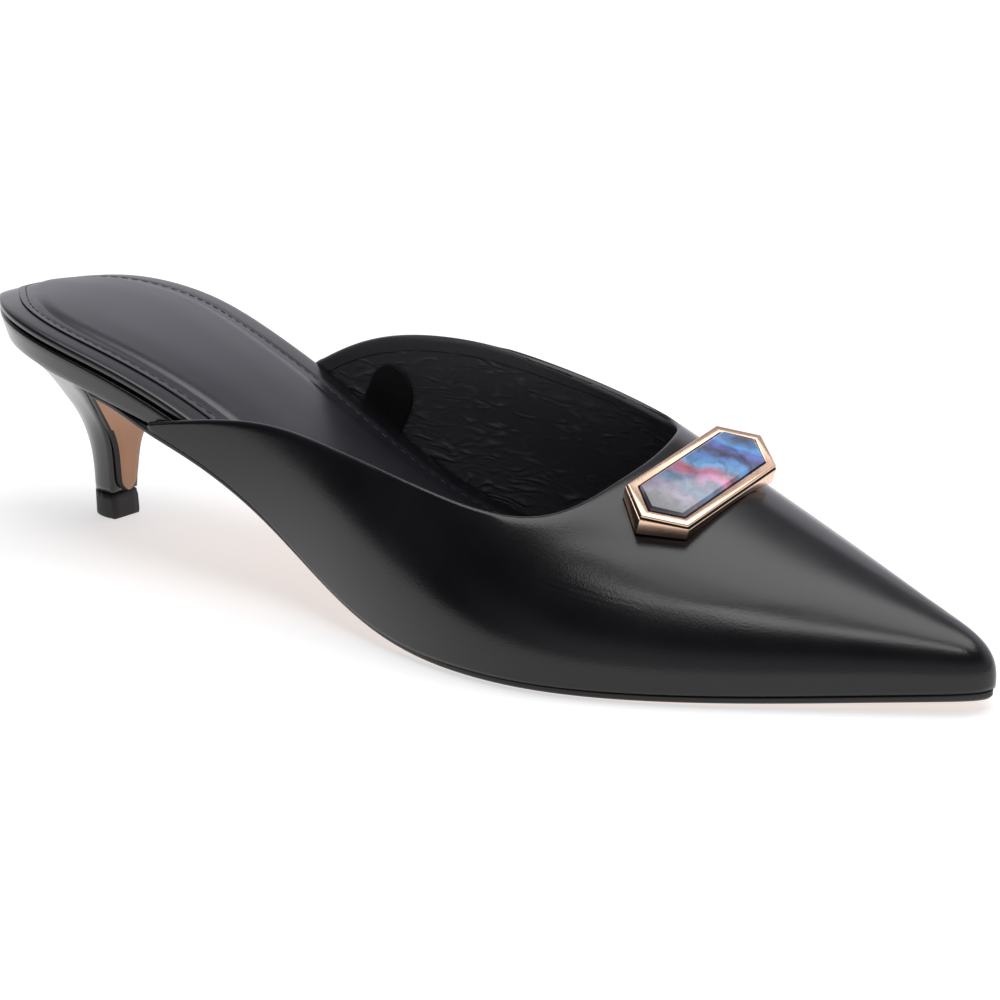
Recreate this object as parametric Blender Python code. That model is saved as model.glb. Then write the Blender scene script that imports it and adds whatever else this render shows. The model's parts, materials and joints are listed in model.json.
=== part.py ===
"""Kitten heel mule, right shoe, size EU 37: pointed, closed at the toe, with a hexagonal ornament on its vamp.

The shoe stands on its heel tip and forefoot. +X points to the toe, +Y to the inner (medial) side and +Z up.
The origin is the centre of the heel tip's bearing face, on the floor. Inside the functions, lengths along the
shoe are measured forward from a line just behind the footbed, and make_piece moves them to the origin.
"""

import math
from collections import namedtuple

import bmesh
import bpy
import numpy as np

MM = 0.001

# Sizes of the last and of the whole shoe
SHOE_LENGTH = 254.4 * MM  # from the line behind the footbed to the toe point, in plan
BALL_WIDTH = 76.5 * MM  # footbed at the ball of the foot
WAIST_WIDTH = 49 * MM  # footbed under the arch
SEAT_WIDTH = 56 * MM  # footbed under the heel
TOE_WIDTH = 32 * MM  # footbed where the toe begins to close to its point
SEAT_HEIGHT = 42.5 * MM  # floor to the underside of the insole over the heel
TREAD_HEIGHT = 2.0 * MM  # floor to the underside of the insole at the ball: the outsole fills it
TOE_SPRING = 2.2 * MM  # how much further the toe point is off the floor
INSTEP_HEIGHT = 49 * MM  # floor to the ridge of the vamp at 65 per cent of the length
TOE_ROUND = 10 * MM  # how far the ridge ends behind the toe point

# Walls, layers and clearances
WALL = 1.7 * MM  # leather and lining of the upper
SKIVED_WALL = 1.0 * MM  # the same at its back corners
FIT_GAP = 0.3 * MM  # between pieces that are lasted or glued together
SOLE_THICKNESS = 1.7 * MM
SOLE_INSET = 0.9 * MM  # the outsole's edge inside the upper's foot
INSOLE_SEAT_THICKNESS = 6.3 * MM  # leather-covered insole under the heel
INSOLE_TREAD_THICKNESS = 2.4 * MM  # the same, under the ball and toes
INSOLE_TAPER = 1.9 * MM  # how much its side leans in towards the heel
FOOTBED_THICKNESS = 2.7 * MM
TOE_INSET = 1.6 * MM  # the footbed's upper edge kept back inside the toe
SOCK_BORDER = 4.6 * MM  # between the footbed's edge and the sock
SOCK_SEAM = 3.6 * MM  # flat border of the sock, for its seam
SOCK_THICKNESS = 0.8 * MM  # at its padded middle

# Heel and heel tip
HEEL_SETBACK = 32.4 * MM  # from the same line to the centre of the heel tip
TIP_WIDTH = 8.6 * MM
TIP_LENGTH = 8.0 * MM
TIP_HEIGHT = 5.9 * MM
BREAST_SETBACK = 48 * MM  # from the same line to the front face of the heel, under the insole
HEEL_INSET = 2.8 * MM  # the heel's rim inside the footbed's edge
FLAP_THICKNESS = 1.3 * MM  # the outsole's tongue down the front of the heel
FLAP_MARGIN = 1.1 * MM  # heel cover left bare beside it
FLAP_LIFT = 0.5 * MM  # its end above the heel tip
FLAP_ROUND = 3.4 * MM  # height of its rounded end

# Ornament: a long hexagon across the vamp, a stepped metal frame round a bevelled stone
ORNAMENT_LENGTH = 40 * MM
ORNAMENT_WIDTH = 15.8 * MM
ORNAMENT_POINT = 5.6 * MM  # length of each pointed end
ORNAMENT_BEHIND_TOE = 59.5 * MM  # toe point to its centre
ORNAMENT_ACROSS = -0.5 * MM  # its centre, towards the medial side
FRAME_HEIGHT = 2.8 * MM  # vamp to the frame's rim at the centre
FRAME_DEPTH = 4.4 * MM  # most that the frame's side reaches down towards the vamp
FRAME_STEP = 0.8 * MM  # width and height of the step round it
FRAME_RIM = 2.1 * MM
RECESS_DEPTH = 1.4 * MM  # bed for the stone inside the rim
STONE_RISE = 0.7 * MM  # stone above the rim
STONE_BEVEL = 1.5 * MM

OutlineRow = namedtuple("OutlineRow", "along lateral medial width")
OUTLINE = [
    OutlineRow(0.017, 0.000, 0.000, SEAT_WIDTH),
    OutlineRow(0.027, 0.152, 0.152, SEAT_WIDTH),
    OutlineRow(0.053, 0.270, 0.305, SEAT_WIDTH),
    OutlineRow(0.095, 0.422, 0.418, SEAT_WIDTH),
    OutlineRow(0.157, 0.502, 0.499, SEAT_WIDTH),
    OutlineRow(0.235, 0.482, 0.469, SEAT_WIDTH),
    OutlineRow(0.333, 0.518, 0.482, WAIST_WIDTH),
    OutlineRow(0.431, 0.551, 0.468, WAIST_WIDTH),
    OutlineRow(0.529, 0.432, 0.352, BALL_WIDTH),
    OutlineRow(0.627, 0.508, 0.435, BALL_WIDTH),
    OutlineRow(0.706, 0.515, 0.479, BALL_WIDTH),
    OutlineRow(0.784, 0.430, 0.430, BALL_WIDTH),
    OutlineRow(0.863, 0.680, 0.750, TOE_WIDTH),
    OutlineRow(0.933, 0.330, 0.425, TOE_WIDTH),
    OutlineRow(0.982, 0.080, 0.215, TOE_WIDTH),
]
TOE_POINT_ACROSS = 0.075  # the toe point's place to the medial side, as a share of TOE_WIDTH

ProfileRow = namedtuple("ProfileRow", "along seat tread spring")
PROFILE = [
    ProfileRow(0.000, 0.952, 0.0, 0.0),
    ProfileRow(0.050, 1.026, 0.0, 0.0),
    ProfileRow(0.100, 1.022, 0.0, 0.0),
    ProfileRow(0.150, 0.961, 0.0, 0.0),
    ProfileRow(0.200, 0.888, 0.0, 0.0),
    ProfileRow(0.300, 0.716, 0.1, 0.0),
    ProfileRow(0.400, 0.462, 0.3, 0.0),
    ProfileRow(0.490, 0.172, 0.7, 0.0),
    ProfileRow(0.580, 0.015, 1.0, 0.0),
    ProfileRow(0.650, 0.000, 1.0, 0.0),
    ProfileRow(0.720, 0.000, 1.0, 0.0),
    ProfileRow(0.860, 0.000, 1.0, 0.25),
    ProfileRow(1.000, 0.000, 1.0, 1.0),
]

RidgeRow = namedtuple("RidgeRow", "along across height tilt")
RIDGE = [
    RidgeRow(0.20, 0.020, 1.590, 0.00),
    RidgeRow(0.40, 0.031, 1.447, 0.10),
    RidgeRow(0.55, 0.040, 1.242, 0.16),
    RidgeRow(0.65, 0.050, 1.000, 0.20),
    RidgeRow(0.75, 0.060, 0.742, 0.20),
    RidgeRow(0.85, 0.054, 0.536, 0.16),
    RidgeRow(0.92, 0.049, 0.408, 0.10),
    RidgeRow(0.96, 0.046, 0.332, 0.04),
]

ArchRow = namedtuple(
    "ArchRow", "along lateral_lean lateral_side lateral_top medial_lean medial_side medial_top"
)
ARCHES = [
    ArchRow(0.15, 0.10, 0.55, 0.55, 0.05, 0.55, 0.55),
    ArchRow(0.40, 0.12, 0.55, 0.55, 0.05, 0.55, 0.55),
    ArchRow(0.55, 0.18, 0.50, 0.52, 0.12, 0.52, 0.48),
    ArchRow(0.70, 0.22, 0.45, 0.56, 0.18, 0.50, 0.42),
    ArchRow(0.85, 0.22, 0.50, 0.52, 0.20, 0.55, 0.42),
    ArchRow(0.95, 0.22, 0.60, 0.50, 0.20, 0.60, 0.50),
    ArchRow(1.00, 0.20, 0.60, 0.62, 0.20, 0.60, 0.62),
]

ToplineRow = namedtuple("ToplineRow", "along rise")
LATERAL_TOPLINE = [
    ToplineRow(0.282, 0.015),
    ToplineRow(0.350, 0.139),
    ToplineRow(0.420, 0.253),
    ToplineRow(0.500, 0.342),
    ToplineRow(0.600, 0.423),
    ToplineRow(0.694, 0.570),
    ToplineRow(0.718, 0.795),
]
THROAT_ALONG = 0.722
MEDIAL_TOPLINE = [
    ToplineRow(0.707, 0.785),
    ToplineRow(0.646, 0.643),
    ToplineRow(0.573, 0.578),
    ToplineRow(0.500, 0.516),
    ToplineRow(0.420, 0.396),
    ToplineRow(0.350, 0.240),
    ToplineRow(0.282, 0.045),
]

# Heel rings from the heel tip up to the insole, as shares of the way from the tip's size to the seat's size
HeelRow = namedtuple("HeelRow", "up back side breast")
HEEL_RINGS = [
    HeelRow(0.00, 0.000, 0.000, 0.000),
    HeelRow(0.18, 0.005, 0.015, 0.025),
    HeelRow(0.34, 0.055, 0.045, 0.055),
    HeelRow(0.48, 0.160, 0.125, 0.100),
    HeelRow(0.60, 0.300, 0.285, 0.220),
    HeelRow(0.70, 0.400, 0.448, 0.397),
    HeelRow(0.80, 0.490, 0.617, 0.590),
    HeelRow(0.89, 0.600, 0.784, 0.783),
    HeelRow(0.95, 0.735, 0.891, 0.902),
    HeelRow(1.00, 1.000, 1.000, 1.000),
]

# How finely the curved pieces are divided
SIDE_STATIONS = 38
UPPER_COLUMNS = 38
UPPER_ROWS = 11
HEEL_SIDES = 24


def smooth_curve(knots, values, closed=False):
    """A function of t: the smooth curve through values at knots, with free or joined ends."""
    knots, values = np.asarray(knots, float), np.asarray(values, float)
    gaps = np.diff(knots)
    slopes = (np.diff(values, axis=0).T / gaps).T
    count = len(knots)
    matrix, right = np.eye(count), np.zeros_like(values)
    for i in range(1, count - 1):
        matrix[i, i - 1 : i + 2] = gaps[i - 1], 2 * (gaps[i - 1] + gaps[i]), gaps[i]
        right[i] = 6 * (slopes[i] - slopes[i - 1])
    if closed:
        matrix[0, -1] = -1
        matrix[-1, -2:] = gaps[-1], 2 * (gaps[-1] + gaps[0])
        matrix[-1, 1] = gaps[0]
        right[-1] = 6 * (slopes[0] - slopes[-1])
    bends = np.linalg.solve(matrix, right)

    def at(t):
        t = np.asarray(t, float)
        i = np.clip(np.searchsorted(knots, t) - 1, 0, count - 2)
        h, a, b = gaps[i], knots[i + 1] - t, t - knots[i]
        if values.ndim > 1:
            h, a, b = h[..., None], a[..., None], b[..., None]
        straight = (a * values[i] + b * values[i + 1]) / h
        curved = (a**3 / h - a * h) * bends[i] + (b**3 / h - b * h) * bends[i + 1]
        return straight + curved / 6

    return at


def table_curve(rows, column):
    """A smooth curve through one column of a table, over the share of the shoe's length."""
    return smooth_curve([row.along for row in rows], [getattr(row, column) for row in rows])


def ease(x):
    """0 below 0, 1 above 1 and a soft step between."""
    x = np.clip(x, 0, 1)
    return x * x * (3 - 2 * x)


class Outline:
    """The footbed's edge in plan: one closed curve, up the lateral side and down the medial one."""

    def __init__(self):
        lateral = [(row.along * SHOE_LENGTH, -row.lateral * row.width) for row in OUTLINE]
        medial = [(row.along * SHOE_LENGTH, row.medial * row.width) for row in reversed(OUTLINE)]
        points = np.array([*lateral, (SHOE_LENGTH, TOE_POINT_ACROSS * TOE_WIDTH), *medial])
        steps = np.sqrt(np.linalg.norm(np.diff(points, axis=0), axis=1))
        knots = np.concatenate([[0], np.cumsum(steps)])
        self.curve = smooth_curve(knots, points, closed=True)
        self.toe, self.end = knots[len(OUTLINE)], knots[-1]

    def edge(self, side, share, outward=0.0):
        """Points at share, 0 (back) to 1 (toe), on side -1 (lateral) or 1 (medial), moved outward."""
        share = np.asarray(share, float)
        t = share * self.toe if side < 0 else self.end - share * (self.end - self.toe)
        step = self.end * 1e-4
        tangent = self.curve((t + step) % self.end) - self.curve((t - step) % self.end)
        tangent /= np.linalg.norm(tangent, axis=-1, keepdims=True)
        normal = np.stack([tangent[..., 1], -tangent[..., 0]], axis=-1)
        return self.curve(t) + normal * np.asarray(outward)[..., None]


OUTLINE_CURVE = Outline()


def insole_bottom(along):
    """Height of the underside of the insole, which the outsole and heel carry, at lengths from the back."""
    share = along / SHOE_LENGTH
    seat = table_curve(PROFILE, "seat")(share) * SEAT_HEIGHT
    tread = table_curve(PROFILE, "tread")(share) * TREAD_HEIGHT
    spring = table_curve(PROFILE, "spring")(share) * TOE_SPRING
    return np.maximum(seat + tread + spring, TREAD_HEIGHT)


def insole_thickness(along):
    """The insole is thick under the heel and thin from the waist to the toe."""
    forward = ease((along / SHOE_LENGTH - 0.16) / 0.30)
    return INSOLE_SEAT_THICKNESS + (INSOLE_TREAD_THICKNESS - INSOLE_SEAT_THICKNESS) * forward


def toe_inset(along, share):
    """How far a layer's edge keeps back from the upper's wall, which leans in over the toe."""
    return TOE_INSET * share * ease((along / SHOE_LENGTH - 0.86) / 0.12)


def stations(first=0.0, last=1.0, count=SIDE_STATIONS):
    """Shares along the outline, closer together at both ends."""
    turn = np.linspace(0, math.pi, count + 1)
    return first + (last - first) * (1 - np.cos(turn)) / 2


def make_piece(name, points, faces, colour, roughness, metallic=0.0, smooth_angle=35):
    """One closed solid from its points, measured from the line behind the footbed, and its faces."""
    mesh = bpy.data.meshes.new(name)
    moved = np.asarray(points, float) - (HEEL_SETBACK, 0, 0)
    mesh.from_pydata([tuple(p) for p in moved], [], [tuple(int(i) for i in f) for f in faces])
    work = bmesh.new()
    work.from_mesh(mesh)
    bmesh.ops.remove_doubles(work, verts=work.verts, dist=1e-6)
    bmesh.ops.dissolve_degenerate(work, edges=work.edges, dist=1e-7)
    bmesh.ops.recalc_face_normals(work, faces=work.faces)
    work.to_mesh(mesh)
    work.free()
    mesh.shade_smooth()
    mesh.set_sharp_from_angle(angle=math.radians(smooth_angle))
    piece = bpy.data.objects.new(name, mesh)
    bpy.context.scene.collection.objects.link(piece)
    material = bpy.data.materials.new(name)
    material.use_nodes = True
    shader = material.node_tree.nodes["Principled BSDF"]
    shader.inputs["Base Color"].default_value = (*colour, 1)
    shader.inputs["Roughness"].default_value = roughness
    shader.inputs["Metallic"].default_value = metallic
    mesh.materials.append(material)
    return piece


def grid_faces(columns, rows, first=0, flip=False):
    """Quads between neighbouring points of a grid whose points run row by row within each column."""
    faces = []
    for i in range(columns - 1):
        for j in range(rows - 1):
            a = first + i * rows + j
            quad = (a, a + rows, a + rows + 1, a + 1)
            faces.append(quad[::-1] if flip else quad)
    return faces


def ring_faces(rings, sides):
    """Quads between closed rings of the same number of points, listed ring after ring."""
    faces = []
    for i in range(rings - 1):
        for j in range(sides):
            k = (j + 1) % sides
            faces.append((i * sides + j, i * sides + k, (i + 1) * sides + k, (i + 1) * sides + j))
    return faces


def ladder_faces(sides, first):
    """Quads across a ring that runs up one side and down the other, and a triangle if it turns on a point."""
    last, half = first + sides - 1, sides // 2
    faces = [(first + i, first + i + 1, last - i - 1, last - i) for i in range(half - 1)]
    if sides % 2:
        faces.append((first + half - 1, first + half, first + half + 1))
    return faces


def slab(name, shares, rings, colour, roughness):
    """A layer with the footbed's plan: each ring's outward reach and height are functions of the length."""
    points = []
    for outward, height in rings:
        reach = outward(OUTLINE_CURVE.edge(-1, shares)[:, 0])
        lateral, medial = OUTLINE_CURVE.edge(-1, shares, reach), OUTLINE_CURVE.edge(1, shares, reach)
        loop = np.concatenate([lateral, medial[::-1]])
        points.append(np.column_stack([loop, height(loop[:, 0])]))
    sides = 2 * len(shares)
    faces = ring_faces(len(rings), sides)
    faces += ladder_faces(sides, 0) + ladder_faces(sides, (len(rings) - 1) * sides)
    return make_piece(name, np.concatenate(points), faces, colour, roughness)


def build_insole():
    """The leather-covered insole: its side is the band that shows round the heel."""
    bottom = insole_bottom

    def top(along):
        return insole_bottom(along) + insole_thickness(along)

    rounding = 0.5 * MM

    def taper(along, share):
        return -INSOLE_TAPER * share * (1 - ease((along / SHOE_LENGTH - 0.16) / 0.12))

    rings = [
        (lambda along: taper(along, 1.0) - rounding, bottom),
        (lambda along: taper(along, 0.9), lambda along: bottom(along) + rounding),
        (lambda along: taper(along, 0.1) - toe_inset(along, 0.5), lambda along: top(along) - rounding),
        (lambda along: -rounding - toe_inset(along, 0.5), top),
    ]
    return slab("insole", stations(0, 0.99), rings, (0.018, 0.018, 0.020), 0.38)


def footbed_bottom(along):
    """Height of the underside of the footbed, a glue gap above the insole."""
    return insole_bottom(along) + insole_thickness(along) + FIT_GAP


def footbed_top(along):
    """Height of the footbed's upper face."""
    return footbed_bottom(along) + FOOTBED_THICKNESS


def build_footbed():
    """The leather footbed with its rolled edge, which stands a little over the insole behind the upper."""
    half = FOOTBED_THICKNESS / 2
    rings = []
    for turn in (-75, -35, 0, 35, 75):
        angle = math.radians(turn)
        outward = half * (math.cos(angle) - 1)
        lift = half * (1 + math.sin(angle) / math.sin(math.radians(75)))
        share = 0.5 + 0.5 * lift / FOOTBED_THICKNESS
        rings.append((
            lambda along, reach=outward, share=share: reach - toe_inset(along, share),
            lambda along, lift=lift: footbed_bottom(along) + lift,
        ))
    return slab("footbed", stations(0, 0.975), rings, (0.022, 0.022, 0.025), 0.35)


def build_sock():
    """The sock inside the footbed's rolled edge: a flat border for the seam, then the padded middle."""

    def ring(inset, lift):
        return (
            lambda along: -SOCK_BORDER - inset * ease((along / SHOE_LENGTH - 0.01) / 0.07),
            lambda along: footbed_top(along) + FIT_GAP + lift * SOCK_THICKNESS,
        )

    rings = [ring(0, 0.0), ring(0, 0.4), ring(0.55 * SOCK_SEAM, 0.45)]
    rings += [ring(SOCK_SEAM, 0.9), ring(1.3 * SOCK_SEAM, 1.0)]
    return slab("sock", stations(0, 0.955), rings, (0.028, 0.027, 0.032), 0.40)


def upper_foot(side, share):
    """Plan points of the upper's outside where it meets the outsole: skived thin at its back corners."""
    skived = SKIVED_WALL + (WALL - SKIVED_WALL) * ease((share - 0.27) / 0.08)
    return OUTLINE_CURVE.edge(side, share, FIT_GAP + skived)


def ridge_point(along):
    """The last's ridge, with its slope, over lengths from the back."""
    share = along / SHOE_LENGTH
    across, height = table_curve(RIDGE, "across"), table_curve(RIDGE, "height")
    step = 0.002
    slope = (height(share + step) - height(share - step)) * INSTEP_HEIGHT / (2 * step * SHOE_LENGTH)
    ridge = np.stack([along, across(share) * BALL_WIDTH, height(share) * INSTEP_HEIGHT], axis=-1)
    return ridge, slope, table_curve(RIDGE, "tilt")(share)


def last_point(share, rise):
    """A point on the upper's outside: share runs to the toe, rise from lateral (0) over the ridge (1)."""
    share, rise = np.broadcast_arrays(np.asarray(share, float), np.asarray(rise, float))
    share, rise = np.clip(share, 0, 1), np.clip(rise, 0, 2)
    lateral, medial = upper_foot(-1, share), upper_foot(1, share)
    middle = (lateral[..., 0] + medial[..., 0]) / 2
    closing = np.clip((middle - (SHOE_LENGTH - 4 * TOE_ROUND)) / (4 * TOE_ROUND + WALL + FIT_GAP), 0, 1)
    ridge, slope, tilt = ridge_point(middle - (TOE_ROUND + WALL + FIT_GAP) * closing**2)
    on_medial = rise > 1
    foot = np.where(on_medial[..., None], medial, lateral)
    base = np.concatenate([foot, insole_bottom(foot[..., :1])], axis=-1)
    along = np.clip(middle / SHOE_LENGTH, 0, 1)

    def column(part):
        inner, outer = table_curve(ARCHES, "medial_" + part), table_curve(ARCHES, "lateral_" + part)
        blend = np.clip(rise, 0, 2) / 2
        return inner(along) * blend + outer(along) * (1 - blend)

    across = base[..., :2] - ridge[..., :2]
    span = np.linalg.norm(across, axis=-1, keepdims=True)
    height = ridge[..., 2] - base[..., 2]
    side_handle = base.copy()
    side_handle[..., 2] += column("side") * height
    side_handle[..., :2] += across / span * (column("lean") * column("side") * height)[..., None]
    top_handle = ridge.copy()
    top_handle[..., :2] += across * column("top")[..., None]
    top_handle[..., 2] += (across[..., 0] * slope + across[..., 1] * tilt) * column("top")
    t = np.where(on_medial, 2 - rise, rise)[..., None]
    u = 1 - t
    return u**3 * base + 3 * u**2 * t * side_handle + 3 * u * t**2 * top_handle + t**3 * ridge


def outline_share(along):
    """The outline share whose stations lie at this share of the length."""
    shares = np.linspace(0, 1, 801)
    middle = (OUTLINE_CURVE.edge(-1, shares)[:, 0] + OUTLINE_CURVE.edge(1, shares)[:, 0]) / 2
    return np.interp(along * SHOE_LENGTH, middle, shares)


def topline_curve():
    """The topline as (share, rise) over 0 to 2, with the throat at 1 and the back corners at its ends."""
    rows = [(row.along, row.rise) for row in LATERAL_TOPLINE]
    rows += [(THROAT_ALONG, 1.0)]
    rows += [(row.along, 2 - row.rise) for row in MEDIAL_TOPLINE]
    points = np.array([(outline_share(along), rise) for along, rise in rows])
    solid = last_point(points[:, 0], points[:, 1])
    steps = np.linalg.norm(np.diff(solid, axis=0), axis=1)
    knots = np.concatenate([[0], np.cumsum(steps)])
    middle = knots[len(LATERAL_TOPLINE)]
    curve = smooth_curve(knots, points)

    def at(place):
        place = np.asarray(place, float)
        t = np.where(place <= 1, place * middle, middle + (place - 1) * (knots[-1] - middle))
        return curve(t)

    return at


def upper_grid(columns=UPPER_COLUMNS, rows=UPPER_ROWS):
    """(share, rise) over the upper, topline (row 0) to foot, from the lateral corner to the medial one."""
    topline = topline_curve()
    grid = np.zeros((2 * columns + 1, rows + 1, 2))
    down = np.linspace(0, 1, rows + 1)
    throat = topline(1.0)
    for side in (0.0, 2.0):
        corner = topline(side)
        for k in range(columns + 1):
            v = k / columns
            top = topline(v if side == 0 else 2 - v)
            foot_share = corner[0] + (1 - corner[0]) * v
            foot = np.array([foot_share, side])
            bend = 0.55
            front = np.where(
                (down < bend)[:, None],
                np.stack([throat[0] + (1 - throat[0]) * down / bend, np.ones_like(down)], axis=-1),
                np.stack([np.ones_like(down), 1 + (side - 1) * (down - bend) / (1 - bend)], axis=-1),
            )
            front_straight = throat + down[:, None] * (np.array([1.0, side]) - throat)
            ruled = top + down[:, None] * (foot - top)
            column = ruled + v**3 * (front - front_straight)
            grid[k if side == 0 else 2 * columns - k] = column
    return grid


def grid_normals(points):
    """Unit normals of a grid of points, from the differences of their neighbours."""
    first, second = np.gradient(points, axis=0), np.gradient(points, axis=1)
    normal = np.cross(first, second)
    return normal / np.linalg.norm(normal, axis=-1, keepdims=True)


def build_upper():
    """The vamp: one wall, open at the throat and back, and underneath where insole and outsole close it."""
    grid = upper_grid()
    outside = last_point(grid[..., 0], grid[..., 1])
    inward = grid_normals(outside)
    thickness = SKIVED_WALL + (WALL - SKIVED_WALL) * ease((grid[..., :1] - 0.27) / 0.08)
    inside = outside + thickness * inward
    inside[:, -1, 2] = outside[:, -1, 2]
    rolled = (outside[:, 0] + inside[:, 0]) / 2
    upward = outside[:, 0] - outside[:, 1]
    rolled += upward / np.linalg.norm(upward, axis=-1, keepdims=True) * WALL * 0.35
    columns, rows = outside.shape[:2]
    sheets = [outside, inside]
    points = np.concatenate([s.reshape(-1, 3) for s in sheets] + [rolled])
    inner = columns * rows
    lip = 2 * inner
    faces = grid_faces(columns, rows) + grid_faces(columns, rows, inner, flip=True)
    for i in range(columns - 1):
        a, b = i * rows, (i + 1) * rows
        faces.append((a, lip + i, lip + i + 1, b))
        faces.append((lip + i, inner + a, inner + b, lip + i + 1))
        faces.append((a + rows - 1, b + rows - 1, inner + b + rows - 1, inner + a + rows - 1))
    for i, end in ((0, 1), (columns - 1, -1)):
        column = [i * rows + j for j in range(rows)]
        back = [inner + k for k in column]
        loop = [*column, *reversed(back), lip + i]
        faces.append(tuple(loop[::end]))
    return make_piece("upper", points, faces, (0.012, 0.012, 0.013), 0.42)


def sole_half_widths(along):
    """How far the outsole's edge lies outside the footbed's: inside it at the heel, out under the upper."""
    forward = ease((along / SHOE_LENGTH - 0.21) / 0.08)
    return -HEEL_INSET + (HEEL_INSET + FIT_GAP + WALL - SOLE_INSET) * forward


def heel_top_height():
    """Height of the top of the heel's block over the floor at the breast, under the insole."""
    return insole_bottom(np.array([BREAST_SETBACK]))[0] - FIT_GAP


def tip_ring(scale_front=0.0):
    """Plan points of the heel tip, from the lateral breast corner round the back to the medial one."""
    turn = np.linspace(-math.pi / 2, math.pi / 2, HEEL_SIDES + 1)
    power = 2 / 2.6
    across = np.sign(np.sin(turn)) * np.abs(np.sin(turn)) ** power
    back = np.abs(np.cos(turn)) ** power
    front = HEEL_SETBACK + TIP_LENGTH / 2 + scale_front
    return np.column_stack([front - back * (TIP_LENGTH + scale_front), across * TIP_WIDTH / 2])


def seat_ring():
    """Plan points of the heel's rim under the insole, from the lateral breast corner round the back."""
    breast = outline_share(BREAST_SETBACK / SHOE_LENGTH)
    half = HEEL_SIDES // 2
    shares = breast * (1 - np.sin(np.linspace(0, math.pi / 2, half + 1)))
    lateral = OUTLINE_CURVE.edge(-1, shares, np.full(half + 1, -HEEL_INSET))
    medial = OUTLINE_CURVE.edge(1, shares, np.full(half + 1, -HEEL_INSET))
    ring = np.concatenate([lateral, medial[-2::-1]])
    ring[0, 0] = ring[-1, 0] = BREAST_SETBACK
    return ring


def heel_ring(row):
    """Points of the heel's cover at one height, from breast corner to breast corner."""
    tip, seat = tip_ring(), seat_ring()
    tip_front, tip_back = HEEL_SETBACK + TIP_LENGTH / 2, HEEL_SETBACK - TIP_LENGTH / 2
    seat_back = seat[:, 0].min()
    tip_shape = np.column_stack([(tip_front - tip[:, 0]) / TIP_LENGTH, tip[:, 1] / (TIP_WIDTH / 2)])
    half_seat = np.abs(seat[:, 1]).max()
    seat_length = BREAST_SETBACK - seat_back
    seat_shape = np.column_stack([(BREAST_SETBACK - seat[:, 0]) / seat_length, seat[:, 1] / half_seat])
    shape = tip_shape + (seat_shape - tip_shape) * row.side**0.5
    front = tip_front + (BREAST_SETBACK - tip_front) * row.breast
    back = tip_back + (seat_back - tip_back) * row.back
    half = TIP_WIDTH / 2 + (half_seat - TIP_WIDTH / 2) * row.side
    plan = np.column_stack([front - shape[:, 0] * (front - back), shape[:, 1] * half])
    floor = TIP_HEIGHT + FIT_GAP
    rim = insole_bottom(plan[:, 0]) - FIT_GAP
    return np.column_stack([plan, floor + (rim - floor) * row.up])


def build_heel():
    """The covered heel block: slim over the tip, flaring to the full seat under the insole."""
    rings = np.array([heel_ring(row) for row in HEEL_RINGS])
    sides = rings.shape[1]
    faces = ring_faces(len(rings), sides)
    faces += ladder_faces(sides, 0) + ladder_faces(sides, (len(rings) - 1) * sides)
    return make_piece("heel", rings.reshape(-1, 3), faces, (0.014, 0.014, 0.015), 0.28)


def build_heel_tip():
    """The rubber top piece that stands on the floor."""
    chamfer = 0.35 * MM
    levels = [(0.0, -chamfer), (chamfer, 0.0), (TIP_HEIGHT, 0.0)]
    rings = []
    for height, outward in levels:
        plan = tip_ring(0.6 * MM * (1 - height / TIP_HEIGHT))
        middle = np.array([HEEL_SETBACK, 0])
        reach = np.linalg.norm(plan - middle, axis=1, keepdims=True)
        plan = middle + (plan - middle) * (1 + outward / reach)
        rings.append(np.column_stack([plan, np.full(len(plan), height)]))
    sides = len(rings[0])
    faces = ring_faces(len(rings), sides)
    faces += [tuple(range(sides)), tuple(range(2 * sides, 3 * sides))]
    return make_piece("heel_tip", np.concatenate(rings), faces, (0.010, 0.010, 0.010), 0.55)


def breast_line(up):
    """Length from the back and half width of the heel's front face, at a share of the heel's height."""
    ups = [row.up for row in HEEL_RINGS]
    breast = smooth_curve(ups, [row.breast for row in HEEL_RINGS])(up)
    side = smooth_curve(ups, [row.side for row in HEEL_RINGS])(up)
    tip_front, half_tip = HEEL_SETBACK + TIP_LENGTH / 2, TIP_WIDTH / 2
    half_seat = np.abs(seat_ring()[:, 1]).max()
    return tip_front + (BREAST_SETBACK - tip_front) * breast, half_tip + (half_seat - half_tip) * side


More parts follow.
